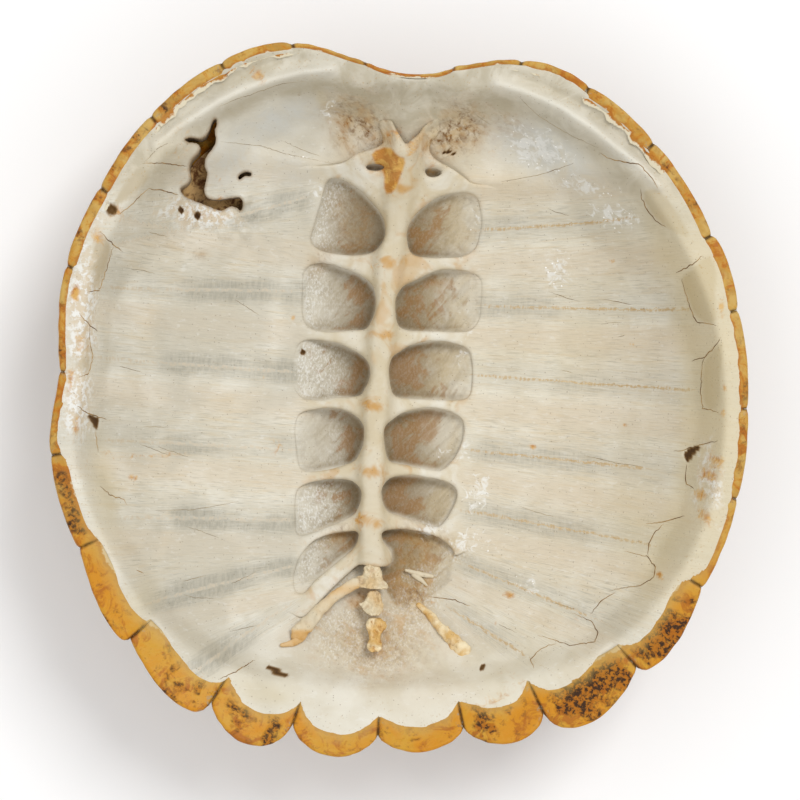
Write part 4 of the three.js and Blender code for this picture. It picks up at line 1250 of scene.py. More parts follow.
def useGroup(group, inputs):
    return addNode(treeOf(*inputs.values()), "ShaderNodeGroup", inputs, node_tree=group).outputs


# Fine porous surface of dry bone: mottling, pores and the height that goes with them.
boneGrain, entry, leave = startGroup(
    "dry_bone_grain",
    [("Place", "NodeSocketVector", None), ("Pore Size", "NodeSocketFloat", 900.0)],
    [("Mottle", "NodeSocketFloat"), ("Pores", "NodeSocketFloat"), ("Height", "NodeSocketFloat")])
mottle = grained(entry.outputs["Place"], 46.0, 2.5, 0.62, 0.4)
fine = grained(entry.outputs["Place"], 420.0, 2.0, 0.7)
cells = addNode(boneGrain, "ShaderNodeTexVoronoi",
                {"Vector": entry.outputs["Place"], "Scale": entry.outputs["Pore Size"]})
poreRound = between(cells.outputs["Distance"], 0.12, 0.3, 1.0, 0.0)
poreDraw = addNode(boneGrain, "ShaderNodeSeparateColor", {0: cells.outputs["Color"]}).outputs[0]
poreRare = between(poreDraw, 0.9, 0.94)
pores = times(poreRound, poreRare)
height = minus(times(fine, 0.6), times(pores, 0.9))
boneGrain.links.new(mottle, leave.inputs["Mottle"])
boneGrain.links.new(pores, leave.inputs["Pores"])
boneGrain.links.new(height, leave.inputs["Height"])

# Irregular dirt, and painted shade along the window edges: a soft mask broken up by fibrous noise.
brokenDirtAndShade, entry, leave = startGroup(
    "broken_dirt_and_shade",
    [("Place", "NodeSocketVector", None), ("Mask", "NodeSocketFloat", 0.0),
     ("Scale", "NodeSocketFloat", 60.0), ("Hardness", "NodeSocketFloat", 0.25)],
    [("Amount", "NodeSocketFloat")])
wide = grained(entry.outputs["Place"], entry.outputs["Scale"], 2.5, 0.7, 0.8)
pushed = minus(times(wide, 1.3), 0.65)
total = plus(entry.outputs["Mask"], pushed)
low = minus(0.5, entry.outputs["Hardness"])
high = plus(0.5, entry.outputs["Hardness"])
amount = times(between(total, low, high), between(entry.outputs["Mask"], 0.0, 0.08))
brokenDirtAndShade.links.new(amount, leave.inputs["Amount"])


def dirtAndShadeOver(place, mask, scale, hardness=0.25):
    inputs = {"Place": place, "Mask": mask, "Scale": scale, "Hardness": hardness}
    return useGroup(brokenDirtAndShade, inputs)["Amount"]


# Stains, patches and specks on the bone, with painted shade in the shade list: place, reach along and across,
# turn in degrees, strength.
marks = {
    "brown": [
        (-24, 138, 15, 11, -35, 1.0), (22, 135, 17, 11, 30, 0.95), (10, 127, 9, 7, 20, 0.6),
        (-14, 128, 8, 6, 0, 0.6), (-20, 146, 14, 6, -10, 0.5), (-31, 127, 9, 6, -40, 0.5),
        (44, 141, 12, 6, -25, 0.35), (-26, -66, 8, 5, 30, 0.5), (16, -66, 13, 6, -15, 0.6),
        (10, -78, 10, 5, 0, 0.55), (-15, -98, 8, 10, 0, 0.5), (12, -96, 8, 12, 0, 0.6),
        (-6, -116, 26, 16, 0, 0.4), (-40, 70, 5, 8, -30, 0.3), (-26, 88, 8, 14, 20, 0.45),
        (-100.3, 68.4, 4, 2.4, 0, 0.35),
    ],
    "salt": [
        (76, 68, 12, 15, 0, 0.55), (30, -24, 15, 11, 0, 0.5), (40, -68, 18, 11, -10, 0.55),
        (20, -62, 12, 8, 0, 0.6), (36, -112, 12, 6, 0, 0.4), (100, 95, 18, 8, -20, 0.6),
        (86, 108, 26, 6, -12, 0.55), (62, 126, 26, 10, -25, 0.7), (32, 30, 8, 26, 0, 0.42),
        (34, 92, 7, 10, 0, 0.45), (42, -42, 10, 14, 0, 0.6), (66, -86, 14, 7, -20, 0.5),
        (95, -40, 16, 8, -10, 0.4), (-44, 100, 7, 12, 0, 0.5), (-40, 140, 8, 9, 0, 0.5),
        (-52, 118, 12, 4, 0, 0.4),
    ],
    "ochre": [
        (-147, 72, 4, 5, 0, 0.7), (-152, 22, 3.5, 9, 0, 0.6), (-156.2, 46, 2.6, 6, 0, 1),
        (-157, 6, 2, 9, 0, 0.85), (-153.3, -17.8, 2, 7, 0, 0.9), (-140, -30, 4, 2.5, 0, 0.5),
        (149.7, 50.3, 1.8, 5, 0, 0.8), (152.3, 13.9, 1.4, 3, 0, 0.7), (152.4, 1.5, 1.6, 3, 0, 0.8),
        (150.7, -21.2, 3.4, 4.4, 0, 0.95), (147.3, -28.2, 3.2, 3.4, 0, 0.95), (145, -37.8, 3, 3.6, 0, 0.95),
        (146.3, -48.2, 3, 5, 20, 0.8), (127.3, -77.2, 1.8, 1.8, 0, 1), (57.8, -91.5, 3.2, 2, 0, 1.1),
        (51.9, -105.1, 2, 1.5, 0, 0.8), (68.8, -19, 2.2, 1.6, 0, 1.1), (-127.5, -40.8, 3, 2, 0, 1.1),
        (62, -132, 10, 4, -20, 0.5), (-118, -30, 20, 1.6, 5, 0.55), (96, -100, 10, 3, 20, 0.4),
        (-96, -136, 20, 6, -25, 0.45), (-121, -124, 6, 12, 40, 0.5), (52, -138, 12, 4, 25, 0.5),
        (111.9, -6, 1.4, 1.2, 0, 0.8), (113.3, 33.6, 1.2, 1.2, 0, 0.8), (-74.6, 153.4, 4, 3.6, 0, 0.85),
        (101.8, 73.7, 1.4, 1.2, 0, 0.7), (-53, 40.4, 1.6, 1.4, 0, 0.8), (-65.8, 10.6, 1.4, 1.3, 0, 0.7),
        (-138.6, 85, 5, 4.4, 0, 0.8), (-98, 88, 16, 5, 0, 0.42), (-109, 112, 5, 18, 0, 0.4),
        (-92, 96, 8, 3, 0, 0.5), (-90, 104, 10, 3, -20, 0.4), (42.3, 123.6, 3, 3, 0, 0.4),
        (20, -97, 2.2, 2, 0, 0.6), (1.4, -120.3, 2, 1.4, 0, 0.6), (-58, -24, 4, 6, 0, 0.4),
        (-8, 130, 5, 4, 0, 0.7), (1.5, 123.5, 4, 5, 0, 0.8), (10.6, 115, 2.6, 6, 0, 0.6),
        (-11.7, 66, 5, 3, 0, 0.6), (-9, 55, 4, 3, 0, 0.4), (-14.5, -1, 4, 4, 0, 0.6),
        (-17, -58, 4, 6, 0, 0.7), (12, 130, 4, 3, 0, 0.4), (-4, 104, 5, 9, 0, 0.5), (-19, -33, 3, 3, 0, 0.5),
    ],
    "yellow": [
        (-44, 146, 12, 3.5, -60, 0.7), (-130, -110, 26, 12, 50, 0.7), (-60, -140, 30, 9, -12, 0.45),
        (60, -146, 34, 9, 14, 0.5), (150, 0, 7, 60, 0, 0.6), (-150, 40, 6, 50, 0, 0.4),
        (120, 110, 34, 5, -45, 0.35), (90, 30, 26, 40, 0, 0.3), (120, -60, 20, 40, 20, 0.4),
        (-118, 118, 30, 6, 50, 0.5), (-82, 152, 30, 5, 30, 0.4), (-140, -50, 9, 40, 10, 0.55),
    ],
    "porous": [
        (-153, 40, 8, 34, 0, 1), (-152, -6, 8, 24, 0, 0.9), (-98, 87, 22, 9, 0, 0.9),
        (150, -34, 8, 24, 0, 0.7), (-147, 82, 8, 12, 0, 0.6),
    ],
    "lichen": [
        (-8, -112, 34, 22, 0, 1), (14, -92, 12, 14, 0, 1), (-24, -88, 12, 10, 30, 0.7),
        (30, -112, 12, 10, 0, 0.5), (-34, -68, 10, 7, 30, 0.6), (32, -70, 12, 8, -20, 0.7),
    ],
    "frontGrey": [
        (64, 130, 34, 15, -28, 0.95), (-64, 136, 34, 10, 26, 0.8), (-86, 114, 18, 12, 25, 0.75),
        (-58, 114, 14, 10, 0, 0.5), (100, 116, 22, 9, -42, 0.6), (0, 156, 60, 8, 0, 0.5),
        (-92, 152, 22, 6, 34, 0.6), (96, 143, 26, 6, -40, 0.8),
    ],
    "shade": [
        (-24, 88, 10, 13, 0, 1.2), (-96, 147, 18, 6, 34, 0.9), (94, 139, 24, 6, -40, 0.9),
        (-84, 137, 36, 3, 31, 0.7), (-52, 148, 22, 3, 12, 0.6), (74, 132, 36, 2.6, -33, 0.3),
        (40, 146, 14, 3, -5, 0.4), (-40, 126, 24, 8, 10, 0.15), (-124, 100, 16, 5, 55, 0.4),
        (124, 92, 16, 5, -55, 0.5), (0, 146, 4, 14, 0, 0.25),
    ],
}


def marked(key, x, y):
    total = np.zeros_like(x)
    for px, py, reachX, reachY, turn, strength in marks[key]:
        c, s = math.cos(math.radians(turn)), math.sin(math.radians(turn))
        u, v = (x - px) * c + (y - py) * s, -(x - px) * s + (y - py) * c
        total = np.maximum(total, strength * np.exp(-((u / reachX) ** 2 + (v / reachY) ** 2)))
    return total


def boneValues(piece, isSpine=False):
    place = pointsOf(piece).astype(float)
    x, y = place[:, 0], place[:, 1]
    signed = sutureDistance(x, y)
    across = ribPlace(x, y)
    hole = np.minimum(outlineDistance(x, y, rounded(holeOutline)),
                      outlineDistance(x, y, rounded(slotOutline)))
    angle = angleOf(x, y)
    aside = x - form["midline"]
    column = np.abs(x - alongSpine(y)[0])
    combed = smooth(10, 1.5, np.abs(signed)) * smooth(30, 46, np.abs(aside)) * smooth(136, 92, np.abs(aside))
    combed = combed * smooth(112, 100, y) * np.where(aside < 0, 1, 0.6)
    sunken = np.zeros_like(x)
    for px, py, radius, deep in darkPits:
        deepness = min(1, deep / 3) ** 1.5 * min(1, 1.8 / radius)
        sunken = np.maximum(sunken, deepness * smooth(1.25, 0.7, np.hypot(x - px, y - py) / radius))
    for outline in deepNotches:
        sunken = np.maximum(sunken, 0.85 * smooth(0.5, -0.5, outlineDistance(x, y, rounded(outline, 1))))
    crest, inner, firstRibs = [np.minimum(lineDistance(x, y, ridges[name + "Right"][0]),
                                          lineDistance(x, y, ridges[name + "Left"][0]))
                               for name in ("crest", "hollow", "firstRib")]
    flange = smooth(33, 22, edgeRadius(angle) - np.hypot(x, y))
    values = {
        "sunken": sunken,
        # Where a painted highlight runs along the front crest ridges.
        "crest": bell(crest, 2.6),
        # Where painted shade lies in the hollow just inside each front crest.
        "crestShade": bell(inner, 3.4),
        "firstRib": bell(firstRibs, 6.5),
        "frontFlange": flange * smooth(60, 118, y) * (1 - bell(crest, 3.6)),
        "sideFlange": flange * smooth(118, 70, y) * smooth(-110, -60, y),
        "fanned": smooth(18, 42, np.abs(aside)) * smooth(-126, -100, y) * smooth(126, 104, y),
        "suture": np.clip(signed, -30, 30),
        "ribAcross": across,
        "aside": aside,
        "inWindow": np.clip(-windowDistance(x, y), -10, 30) - 6 * smooth(-84, -102, y),
        "fromEdge": edgeRadius(angle) - np.hypot(x, y),
        "fromHole": np.clip(hole, -5, 30),
        "combed": combed,
        "pit": pitShare(x, y),
    }
    onSpine = {
        "column": smooth(20, 5, column),
        "joint": sum(bell(y - joint, 4) for joint in jointPlaces) * bell(column, 9),
        "broken": smooth(0.8, -0.6, outlineDistance(x, y, brokenFace)),
        "arm": smooth(47, 30, np.abs(aside)),
    }
    values.update({key: value * isSpine for key, value in onSpine.items()})
    values.update({key: marked(key, x, y) for key in marks})
    return values


setValues(bowl, boneValues(bowl))
setValues(spine, boneValues(spine, True))

boneTones = {
    "cream": tone(209, 202, 184),
    "pale": tone(222, 218, 205),
    "yellow": tone(206, 190, 150),
    "warm": tone(206, 190, 160),
    "cool": tone(142, 139, 126),
    "blueGrey": tone(184, 181, 168),
    "tick": tone(180, 144, 84),
    "brown": tone(112, 74, 26),
    "rust": tone(150, 98, 20),
    "floor": tone(192, 184, 165),
    "floorRight": tone(198, 183, 152),
    "floorShade": tone(124, 104, 70),
    "salt": tone(232, 232, 228),
    "ochre": tone(180, 116, 22),
    "amber": tone(208, 158, 70),
    "greenish": tone(170, 150, 110),
    "pink": tone(207, 191, 166),
    "crack": tone(112, 86, 52),
    "shade": tone(134, 122, 98),
    "olive": tone(178, 168, 144),
    "frontGrey": tone(205, 206, 201),
    "column": tone(202, 188, 158),
    "joint": tone(192, 140, 58),
    "hole": tone(128, 96, 52),
    "pitShade": tone(66, 40, 14),
}


def attributes(tree, *names):
    return [pointValue(tree, name) for name in names]


# Strokes that run one way over the bone, fine and uneven, turned and stretched from the object's own place.
strokes, entry, leave = startGroup(
    "fibrous_strokes",
    [("Place", "NodeSocketVector", None), ("Turn", "NodeSocketVector", None),
     ("Stretch", "NodeSocketVector", None), ("Scale", "NodeSocketFloat", 300.0)],
    [("Amount", "NodeSocketFloat")])
turned = addNode(strokes, "ShaderNodeMapping",
                 {"Vector": entry.outputs["Place"], "Rotation": entry.outputs["Turn"]}).outputs[0]
laid = addNode(strokes, "ShaderNodeMapping", {"Vector": turned, "Scale": entry.outputs["Stretch"]}).outputs[0]
drawn = grained(laid, entry.outputs["Scale"], 2.5, 0.68, 0.6)
strokes.links.new(between(drawn, 0.38, 0.68), leave.inputs["Amount"])


def strokesOver(place, turn, stretch, scale):
    inputs = {"Place": place, "Turn": (0.0, 0.0, turn), "Stretch": (1.0, stretch, 1.0), "Scale": scale}
    return useGroup(strokes, inputs)["Amount"]


def shellBoneMaterial():
    material, tree = startMaterial("shell_bone_inside")
    place = objectPlace(tree)
    grain = useGroup(boneGrain, {"Place": place})
    suture, across, side, inWindow = attributes(tree, "suture", "ribAcross", "aside", "inWindow")
    aside = maths("ABSOLUTE", side)
    alongRib = joined(times(across, 5.0), times(aside, 0.02), 0.0)
    acrossRib = joined(times(across, 1.6), times(aside, 0.34), 0.0)
    streaks = grained(alongRib, 2.2, 3.0, 0.66, 0.3)
    fineStreaks = grained(stretched(alongRib, (6.0, 2.6, 1.0)), 2.0, 2.5, 0.7)
    comb = grained(acrossRib, 2.0, 2.5, 0.7, 0.4)
    clouds = grained(place, 17.0, 2.5, 0.6, 0.5)
    onLeft = between(side, -10.0, 15.0)
    fanned = pointValue(tree, "fanned")

    # The rib bodies: cream with pale and warm streaks along each rib.
    colour = mixed(between(grain["Mottle"], 0.35, 0.7), boneTones["cream"], boneTones["pale"])
    colour = mixed(times(between(clouds, 0.42, 0.68), 0.35), colour, boneTones["warm"])
    colour = mixed(times(onLeft, between(clouds, 0.65, 0.4, 0.0, 0.22)), colour, boneTones["yellow"])
    colour = mixed(times(fanned, between(streaks, 0.48, 0.68, 0.0, 0.6)), colour, boneTones["warm"])
    greyStreaks = times(fanned, between(fineStreaks, 0.5, 0.7, 0.0, 0.5))
    colour = mixed(greyStreaks, colour, boneTones["cool"])
    colour = mixed(times(fanned, between(fineStreaks, 0.46, 0.3, 0.0, 0.6)), colour, boneTones["pale"])
    body = maths("COSINE", times(across, math.pi))
    colour = mixed(times(fanned, between(body, 0.2, -0.9, 0.0, 0.26)), colour, boneTones["blueGrey"])
    colour = mixed(times(fanned, between(body, 0.1, 0.95, 0.0, 0.35)), colour, boneTones["pink"])
    greyer = times(between(side, -12.0, -40.0), between(clouds, 0.42, 0.62, 0.0, 0.45))
    colour = mixed(greyer, colour, boneTones["blueGrey"])
    flecks = between(grained(stretched(place, (0.6, 1.6, 1.0)), 300.0, 2.5, 0.7), 0.58, 0.7, 0.0, 0.22)
    colour = mixed(flecks, colour, boneTones["salt"])
    colour = mixed(times(pointValue(tree, "firstRib"), 0.35), colour, boneTones["warm"])

    # Grey bands beside the sutures, combed across, with the pale ridge of the suture and its tan ticks.
    smudge = times(pointValue(tree, "combed"), between(clouds, 0.32, 0.62))
    smudge = dirtAndShadeOver(alongRib, times(smudge, 0.95), 4.0, 0.42)
    combing = between(comb, 0.34, 0.68, 0.5, 1.0)
    colour = mixed(times(times(smudge, combing), 0.6), colour, boneTones["cool"])
    wobble = times(minus(grained(place, 260.0, 2.0), 0.5), 3.0)
    near = maths("ABSOLUTE", plus(suture, wobble))
    ridge = times(between(near, 1.2, 0.3), pointValue(tree, "combed"))
    ridge = times(ridge, between(comb, 0.4, 0.6, 0.1, 0.6))
    colour = mixed(ridge, colour, boneTones["pale"])
    ticks = times(between(comb, 0.42, 0.56), between(near, 1.1, 0.3))
    ticks = times(times(ticks, between(aside, 30.0, 44.0)), between(onLeft, 0.0, 1.0, 0.25, 0.6))
    colour = mixed(ticks, colour, boneTones["tick"])

    # Floors of the windows: grey-brown bone, with painted shade that darkens them towards the backbone and
    # fades outwards, and fibrous brown strokes.
    opening = between(inWindow, -0.8, 2.5)
    window = times(opening, between(aside, 46.0, 26.0, 0.4, 1.0))
    deep = between(aside, 38.0, 11.0)
    floor = mixed(onLeft, boneTones["floor"], boneTones["floorRight"])
    patchy = grained(place, 60.0, 3.0, 0.65, 0.5)
    floor = mixed(between(patchy, 0.42, 0.66, 0.0, 0.6), floor, boneTones["pale"])
    floor = mixed(times(deep, plus(0.56, times(clouds, 0.4))), floor, boneTones["floorShade"])
    colour = mixed(times(window, 0.96), colour, floor)
    fibres = strokesOver(place, 0.7, 0.24, 230.0)
    colour = mixed(times(times(window, fibres), 0.3), colour, boneTones["floorShade"])
    blotches = grained(place, 72.0, 3.0, 0.66, 0.9)
    stained = plus(blotches, times(deep, 0.2))
    stained = plus(stained, times(minus(fibres, 0.5), 0.14))
    rustiness = times(window, between(stained, 0.6, 0.76))
    colour = mixed(times(rustiness, 0.46), colour, boneTones["rust"])
    # Painted shade along the edges of each window, broken up like dirt.
    corner = times(window, between(inWindow, 7.0, 0.5))
    corner = dirtAndShadeOver(place, times(corner, 0.6), 120.0, 0.35)
    colour = mixed(times(corner, 0.5), colour, boneTones["floorShade"])
    outer = times(between(side, -14.0, -34.0), between(clouds, 0.4, 0.56))
    speckled = between(grained(stretched(place, (1.4, 0.8, 1.0)), 760.0, 2.0, 0.7), 0.44, 0.66)
    lime = times(times(opening, speckled), plus(0.08, times(outer, 0.5)))
    colour = mixed(lime, colour, boneTones["salt"])

    # The mottled ground behind the backbone.
    lichen = dirtAndShadeOver(place, pointValue(tree, "lichen"), 70.0, 0.3)
    ground = mixed(speckled, boneTones["floorRight"], boneTones["salt"])
    mottled = grained(place, 110.0, 3.0, 0.66, 0.6)
    islands = grained(place, 50.0, 3.0, 0.66, 0.8)
    ground = mixed(between(mottled, 0.54, 0.68, 0.0, 0.8), ground, boneTones["joint"])
    ground = mixed(between(islands, 0.5, 0.66, 0.0, 0.6), ground, boneTones["pink"])
    colour = mixed(times(lichen, 0.5), colour, ground)

    # The backbone's own column, its arms and joints, and the face where its front bone broke.
    column, joint, broken, arm = attributes(tree, "column", "joint", "broken", "arm")
    armTone = mixed(between(patchy, 0.35, 0.65), boneTones["pale"], boneTones["column"])
    colour = mixed(times(arm, 0.75), colour, armTone)
    colour = mixed(times(column, 0.55), colour, boneTones["column"])
    armStains = times(arm, between(islands, 0.54, 0.68, 0.0, 0.4))
    colour = mixed(armStains, colour, boneTones["joint"])
    patches = dirtAndShadeOver(place, times(joint, 0.62), 95.0)
    colour = mixed(times(patches, 0.75), colour, boneTones["joint"])
    colour = mixed(between(pointValue(tree, "yellow"), 0.05, 0.9, 0.0, 0.7), colour, boneTones["yellow"])

    # Grey patches in the front hollow, its stains, painted shade and a painted highlight round the crests,
    # and the growths.
    greyed = times(pointValue(tree, "frontGrey"), between(blotches, 0.34, 0.62, 0.45, 1.0))
    colour = mixed(greyed, colour, boneTones["frontGrey"])
    staining = strokesOver(place, -0.6, 0.3, 260.0)
    brown = pointValue(tree, "brown")
    tint = times(brown, between(mottled, 0.34, 0.6, 0.4, 0.85))
    colour = mixed(tint, colour, boneTones["tick"])
    specks = between(grained(stretched(place, (1.0, 0.6, 1.0)), 420.0, 2.5, 0.7), 0.5, 0.66)
    strokesHere = times(brown, plus(times(staining, 0.8), times(specks, 0.65)))
    brownTone = mixed(between(mottled, 0.46, 0.62), boneTones["brown"], boneTones["rust"])
    colour = mixed(strokesHere, colour, brownTone)
    # Painted shade: the shade marks, and a thin band just inside the front crests.
    colour = mixed(times(pointValue(tree, "shade"), 0.4), colour, boneTones["shade"])
    colour = mixed(times(pointValue(tree, "crestShade"), 0.1), colour, boneTones["shade"])
    pit = pointValue(tree, "pit")
    colour = mixed(times(pit, 0.9), colour, boneTones["greenish"])
    rim = between(pointValue(tree, "fromEdge"), 24.0, 14.0)
    dots = between(grained(place, 780.0, 2.0, 0.6), 0.62, 0.7)
    frontFlange, sideFlange = attributes(tree, "frontFlange", "sideFlange")
    colour = mixed(times(rim, 0.3), colour, boneTones["pale"])
    flangeStreaks = between(blotches, 0.36, 0.66, 0.3, 0.85)
    colour = mixed(times(frontFlange, flangeStreaks), colour, boneTones["olive"])
    colour = mixed(times(times(sideFlange, onLeft), 0.5), colour, boneTones["yellow"])
    # Painted highlight along the front crest ridges.
    colour = mixed(times(pointValue(tree, "crest"), 0.25), colour, boneTones["pale"])
    colour = mixed(times(times(rim, dots), 0.35), colour, boneTones["tick"])
    spongy = between(grained(place, 330.0, 2.0, 0.7), 0.42, 0.6)
    porous = dirtAndShadeOver(place, times(pointValue(tree, "porous"), 0.9), 60.0)
    spongyTone = mixed(spongy, boneTones["pink"], boneTones["salt"])
    colour = mixed(times(porous, 0.8), colour, spongyTone)
    salt = dirtAndShadeOver(place, times(pointValue(tree, "salt"), 0.82), 210.0, 0.12)
    colour = mixed(times(salt, 0.7), colour, boneTones["salt"])
    ochre = dirtAndShadeOver(place, times(pointValue(tree, "ochre"), 0.72), 210.0, 0.3)
    ochreShare = between(grained(place, 240.0, 3.0, 0.7), 0.4, 0.6)
    ochreTone = mixed(ochreShare, boneTones["amber"], boneTones["ochre"])
    colour = mixed(times(ochre, 0.9), colour, ochreTone)
    brokenShare = between(grained(place, 170.0, 3.0, 0.66, 0.6), 0.42, 0.62)
    brokenTone = mixed(brokenShare, boneTones["ochre"], boneTones["amber"])
    colour = mixed(times(broken, 0.9), colour, brokenTone)
    colour = mixed(between(pointValue(tree, "fromHole"), 1.6, -0.4, 0.0, 0.7), colour, boneTones["hole"])
    colour = mixed(times(grain["Pores"], 0.5), colour, boneTones["crack"])
    # Sunken pits and notches: ochre-brown walls, then painted shade darkening their bottoms to near black.
    sunken = pointValue(tree, "sunken")
    colour = mixed(between(sunken, 0.05, 0.6), colour, boneTones["hole"])
    colour = mixed(between(sunken, 0.35, 0.9, 0.0, 0.9), colour, boneTones["pitShade"])

    relief = plus(grain["Height"], times(fineStreaks, 0.5))
    relief = plus(relief, times(maths("MAXIMUM", pointValue(tree, "porous"), broken), spongy))
    normal = raised(relief, 0.45, 0.0006)
    finishMaterial(tree, colour, between(grain["Mottle"], 0.3, 0.7, 0.62, 0.8), normal, shine=0.25)
    return material


def looseMaterial():
    material, tree = startMaterial("loose_ochre_bone")
    place = objectPlace(tree)
    grain = useGroup(boneGrain, {"Place": place, "Pore Size": 1200.0})
    worn = grained(place, 75.0, 5.0, 0.6)
    colour = mixed(between(worn, 0.4, 0.62), tone(232, 216, 180), tone(208, 168, 100))
    colour = mixed(between(grained(place, 210.0, 4.0), 0.54, 0.7, 0.0, 0.75), colour, tone(168, 114, 46))
    paled = times(pointValue(tree, "paleness"), between(worn, 0.3, 0.7, 1.0, 0.7))
    colour = mixed(paled, colour, tone(206, 194, 168))
    colour = mixed(pointValue(tree, "rusty"), colour, tone(192, 142, 66))
    colour = mixed(times(grain["Pores"], 0.6), colour, boneTones["crack"])
    normal = raised(plus(grain["Height"], worn), 0.6, 0.0009)
    finishMaterial(tree, colour, 0.6, normal)
    return material


hornTones = {
    "amber": tone(198, 132, 18),
    "honey": tone(196, 146, 42),
    "tan": tone(168, 128, 54),
    "straw": tone(190, 156, 84),
    "orange": tone(162, 92, 10),
    "dark": tone(58, 34, 12),
    "grunge": tone(104, 62, 18),
    "bone": tone(210, 200, 174),
    "flake": tone(150, 142, 122),
    "inside": tone(212, 174, 116),
}


def rimMaterial():
    material, tree = startMaterial("amber_rim_horn")
    place = objectPlace(tree)
    grain = useGroup(boneGrain, {"Place": place})
    left, beside, browning = attributes(tree, "hornLeft", "besideSeam", "browning")
    patches = grained(place, 46.0, 6.0, 0.64, 0.6)
    colour = mixed(between(patches, 0.35, 0.62), hornTones["honey"], hornTones["amber"])
    blotches = grained(place, 90.0, 7.0, 0.7, 0.9)
    away = between(addNode(tree, "ShaderNodeSeparateXYZ", {0: place}).outputs[1], -0.1, -0.02)
    aged = mixed(between(patches, 0.42, 0.58), hornTones["straw"], hornTones["tan"])
    colour = mixed(times(away, between(blotches, 0.62, 0.42, 0.15, 0.9)), colour, aged)
    colour = mixed(between(blotches, 0.5, 0.62, 0.0, 0.85), colour, hornTones["orange"])
    scuffs = between(grained(stretched(place, (1.0, 1.0, 2.0)), 190.0, 4.0, 0.72), 0.56, 0.68, 0.0, 0.5)
    colour = mixed(scuffs, colour, hornTones["grunge"])
    mask = times(browning, between(grained(place, 30.0, 4.0, 0.6, 0.6), 0.38, 0.66))
    dirt = dirtAndShadeOver(place, mask, 105.0, 0.22)
    crust = grained(place, 420.0, 4.0, 0.75, 0.2)
    around = mixed(between(crust, 0.4, 0.6), hornTones["orange"], hornTones["grunge"])
    colour = mixed(times(dirt, 0.8), colour, around)
    colour = mixed(times(dirt, between(crust, 0.47, 0.56)), colour, hornTones["dark"])
    seam = between(beside, 0.2, 1.5, 1.0, 0.0)
    seam = times(seam, between(grained(place, 300.0, 4.0, 0.7), 0.3, 0.6, 0.4, 1.0))
    colour = mixed(times(seam, 0.85), colour, hornTones["dark"])
    flakes = times(between(beside, 4.5, 1.0), between(grained(place, 240.0, 4.0, 0.7), 0.58, 0.66))
    colour = mixed(times(flakes, 0.7), colour, hornTones["flake"])
    ragged = times(minus(grained(place, 130.0, 6.0, 0.7), 0.5), 9.0)
    wornEdge = plus(left, ragged)
    edging = times(between(wornEdge, 4.0, 2.2), between(wornEdge, 0.2, 1.6))
    colour = mixed(times(edging, 0.65), colour, hornTones["orange"])
    colour = mixed(between(wornEdge, 1.8, 0.8), colour, hornTones["bone"])
    fading = between(plus(left, times(ragged, 0.6)), 9.0, 1.0, 0.0, 0.7)
    colour = mixed(times(fading, minus(1.0, away)), colour, hornTones["straw"])
    relief = plus(grain["Height"], times(dirt, 0.7))
    relief = plus(relief, times(blotches, 0.8))
    normal = raised(relief, 0.45, 0.0008)
    roughness = plus(0.48, times(dirt, 0.25))
    finishMaterial(tree, colour, roughness, normal, shine=0.28)
    return material


def underMaterial():
    material, tree = startMaterial("dark_scute_horn")
    place = objectPlace(tree)
    grain = useGroup(boneGrain, {"Place": place})
    rings = maths("SINE", times(pointValue(tree, "ringPlace"), 69.0))
    patches = grained(place, 26.0, 6.0, 0.65, 0.6)
    colour = mixed(between(patches, 0.35, 0.65), tone(78, 58, 34), tone(122, 92, 50))
    colour = mixed(between(rings, 0.2, 1.0, 0.0, 0.4), colour, tone(54, 40, 26))
    colour = mixed(between(pointValue(tree, "knob"), 0.3, 1.0, 0.0, 0.6), colour, tone(164, 126, 70))
    dirt = dirtAndShadeOver(place, 0.4, 70.0)
    colour = mixed(times(dirt, 0.5), colour, tone(60, 58, 36))
    insideShare = between(grained(place, 150.0, 6.0, 0.7, 0.8), 0.4, 0.6)
    inside = mixed(insideShare, hornTones["grunge"], hornTones["inside"])
    colour = mixed(pointValue(tree, "innerSide"), colour, inside)
    normal = raised(grain["Height"], 0.4, 0.0008)
    finishMaterial(tree, colour, between(patches, 0.3, 0.7, 0.45, 0.65), normal)
    return material


shellBone = shellBoneMaterial()
bowl.data.materials.append(shellBone)
spine.data.materials.append(shellBone)
paleness = {"sacral_rib": 1, "rib_splinter": 1, "rib_sliver": 1, "rib_sliver_end": 1,
            "loose_sacral_vertebra_1": 0.6, "loose_sacral_vertebra_2": 0.6}
looseBone = looseMaterial()
for piece in looseBones:
    y = pointsOf(piece)[:, 1].astype(float)
    rusty = np.zeros(len(y))
    if piece.name == "rib_splinter":
        rusty = rusty + 0.8
    if piece.name == "sacral_rib":
        rusty = np.maximum(smooth(-110.5, -113.5, y), 0.7 * bell(y + 92, 3))
    setValues(piece, {"paleness": paleness.get(piece.name, 0) * (1 - rusty), "rusty": 0.75 * rusty})
    piece.data.materials.append(looseBone)
rimHorn = rimMaterial()
for piece in rimScutes:
    piece.data.materials.append(rimHorn)
underHorn = underMaterial()
for piece in underScutes:
    count = len(piece.data.vertices)
    setValues(piece, {"innerSide": (np.arange(count) >= count // 2).astype(float)})
    piece.data.materials.append(underHorn)
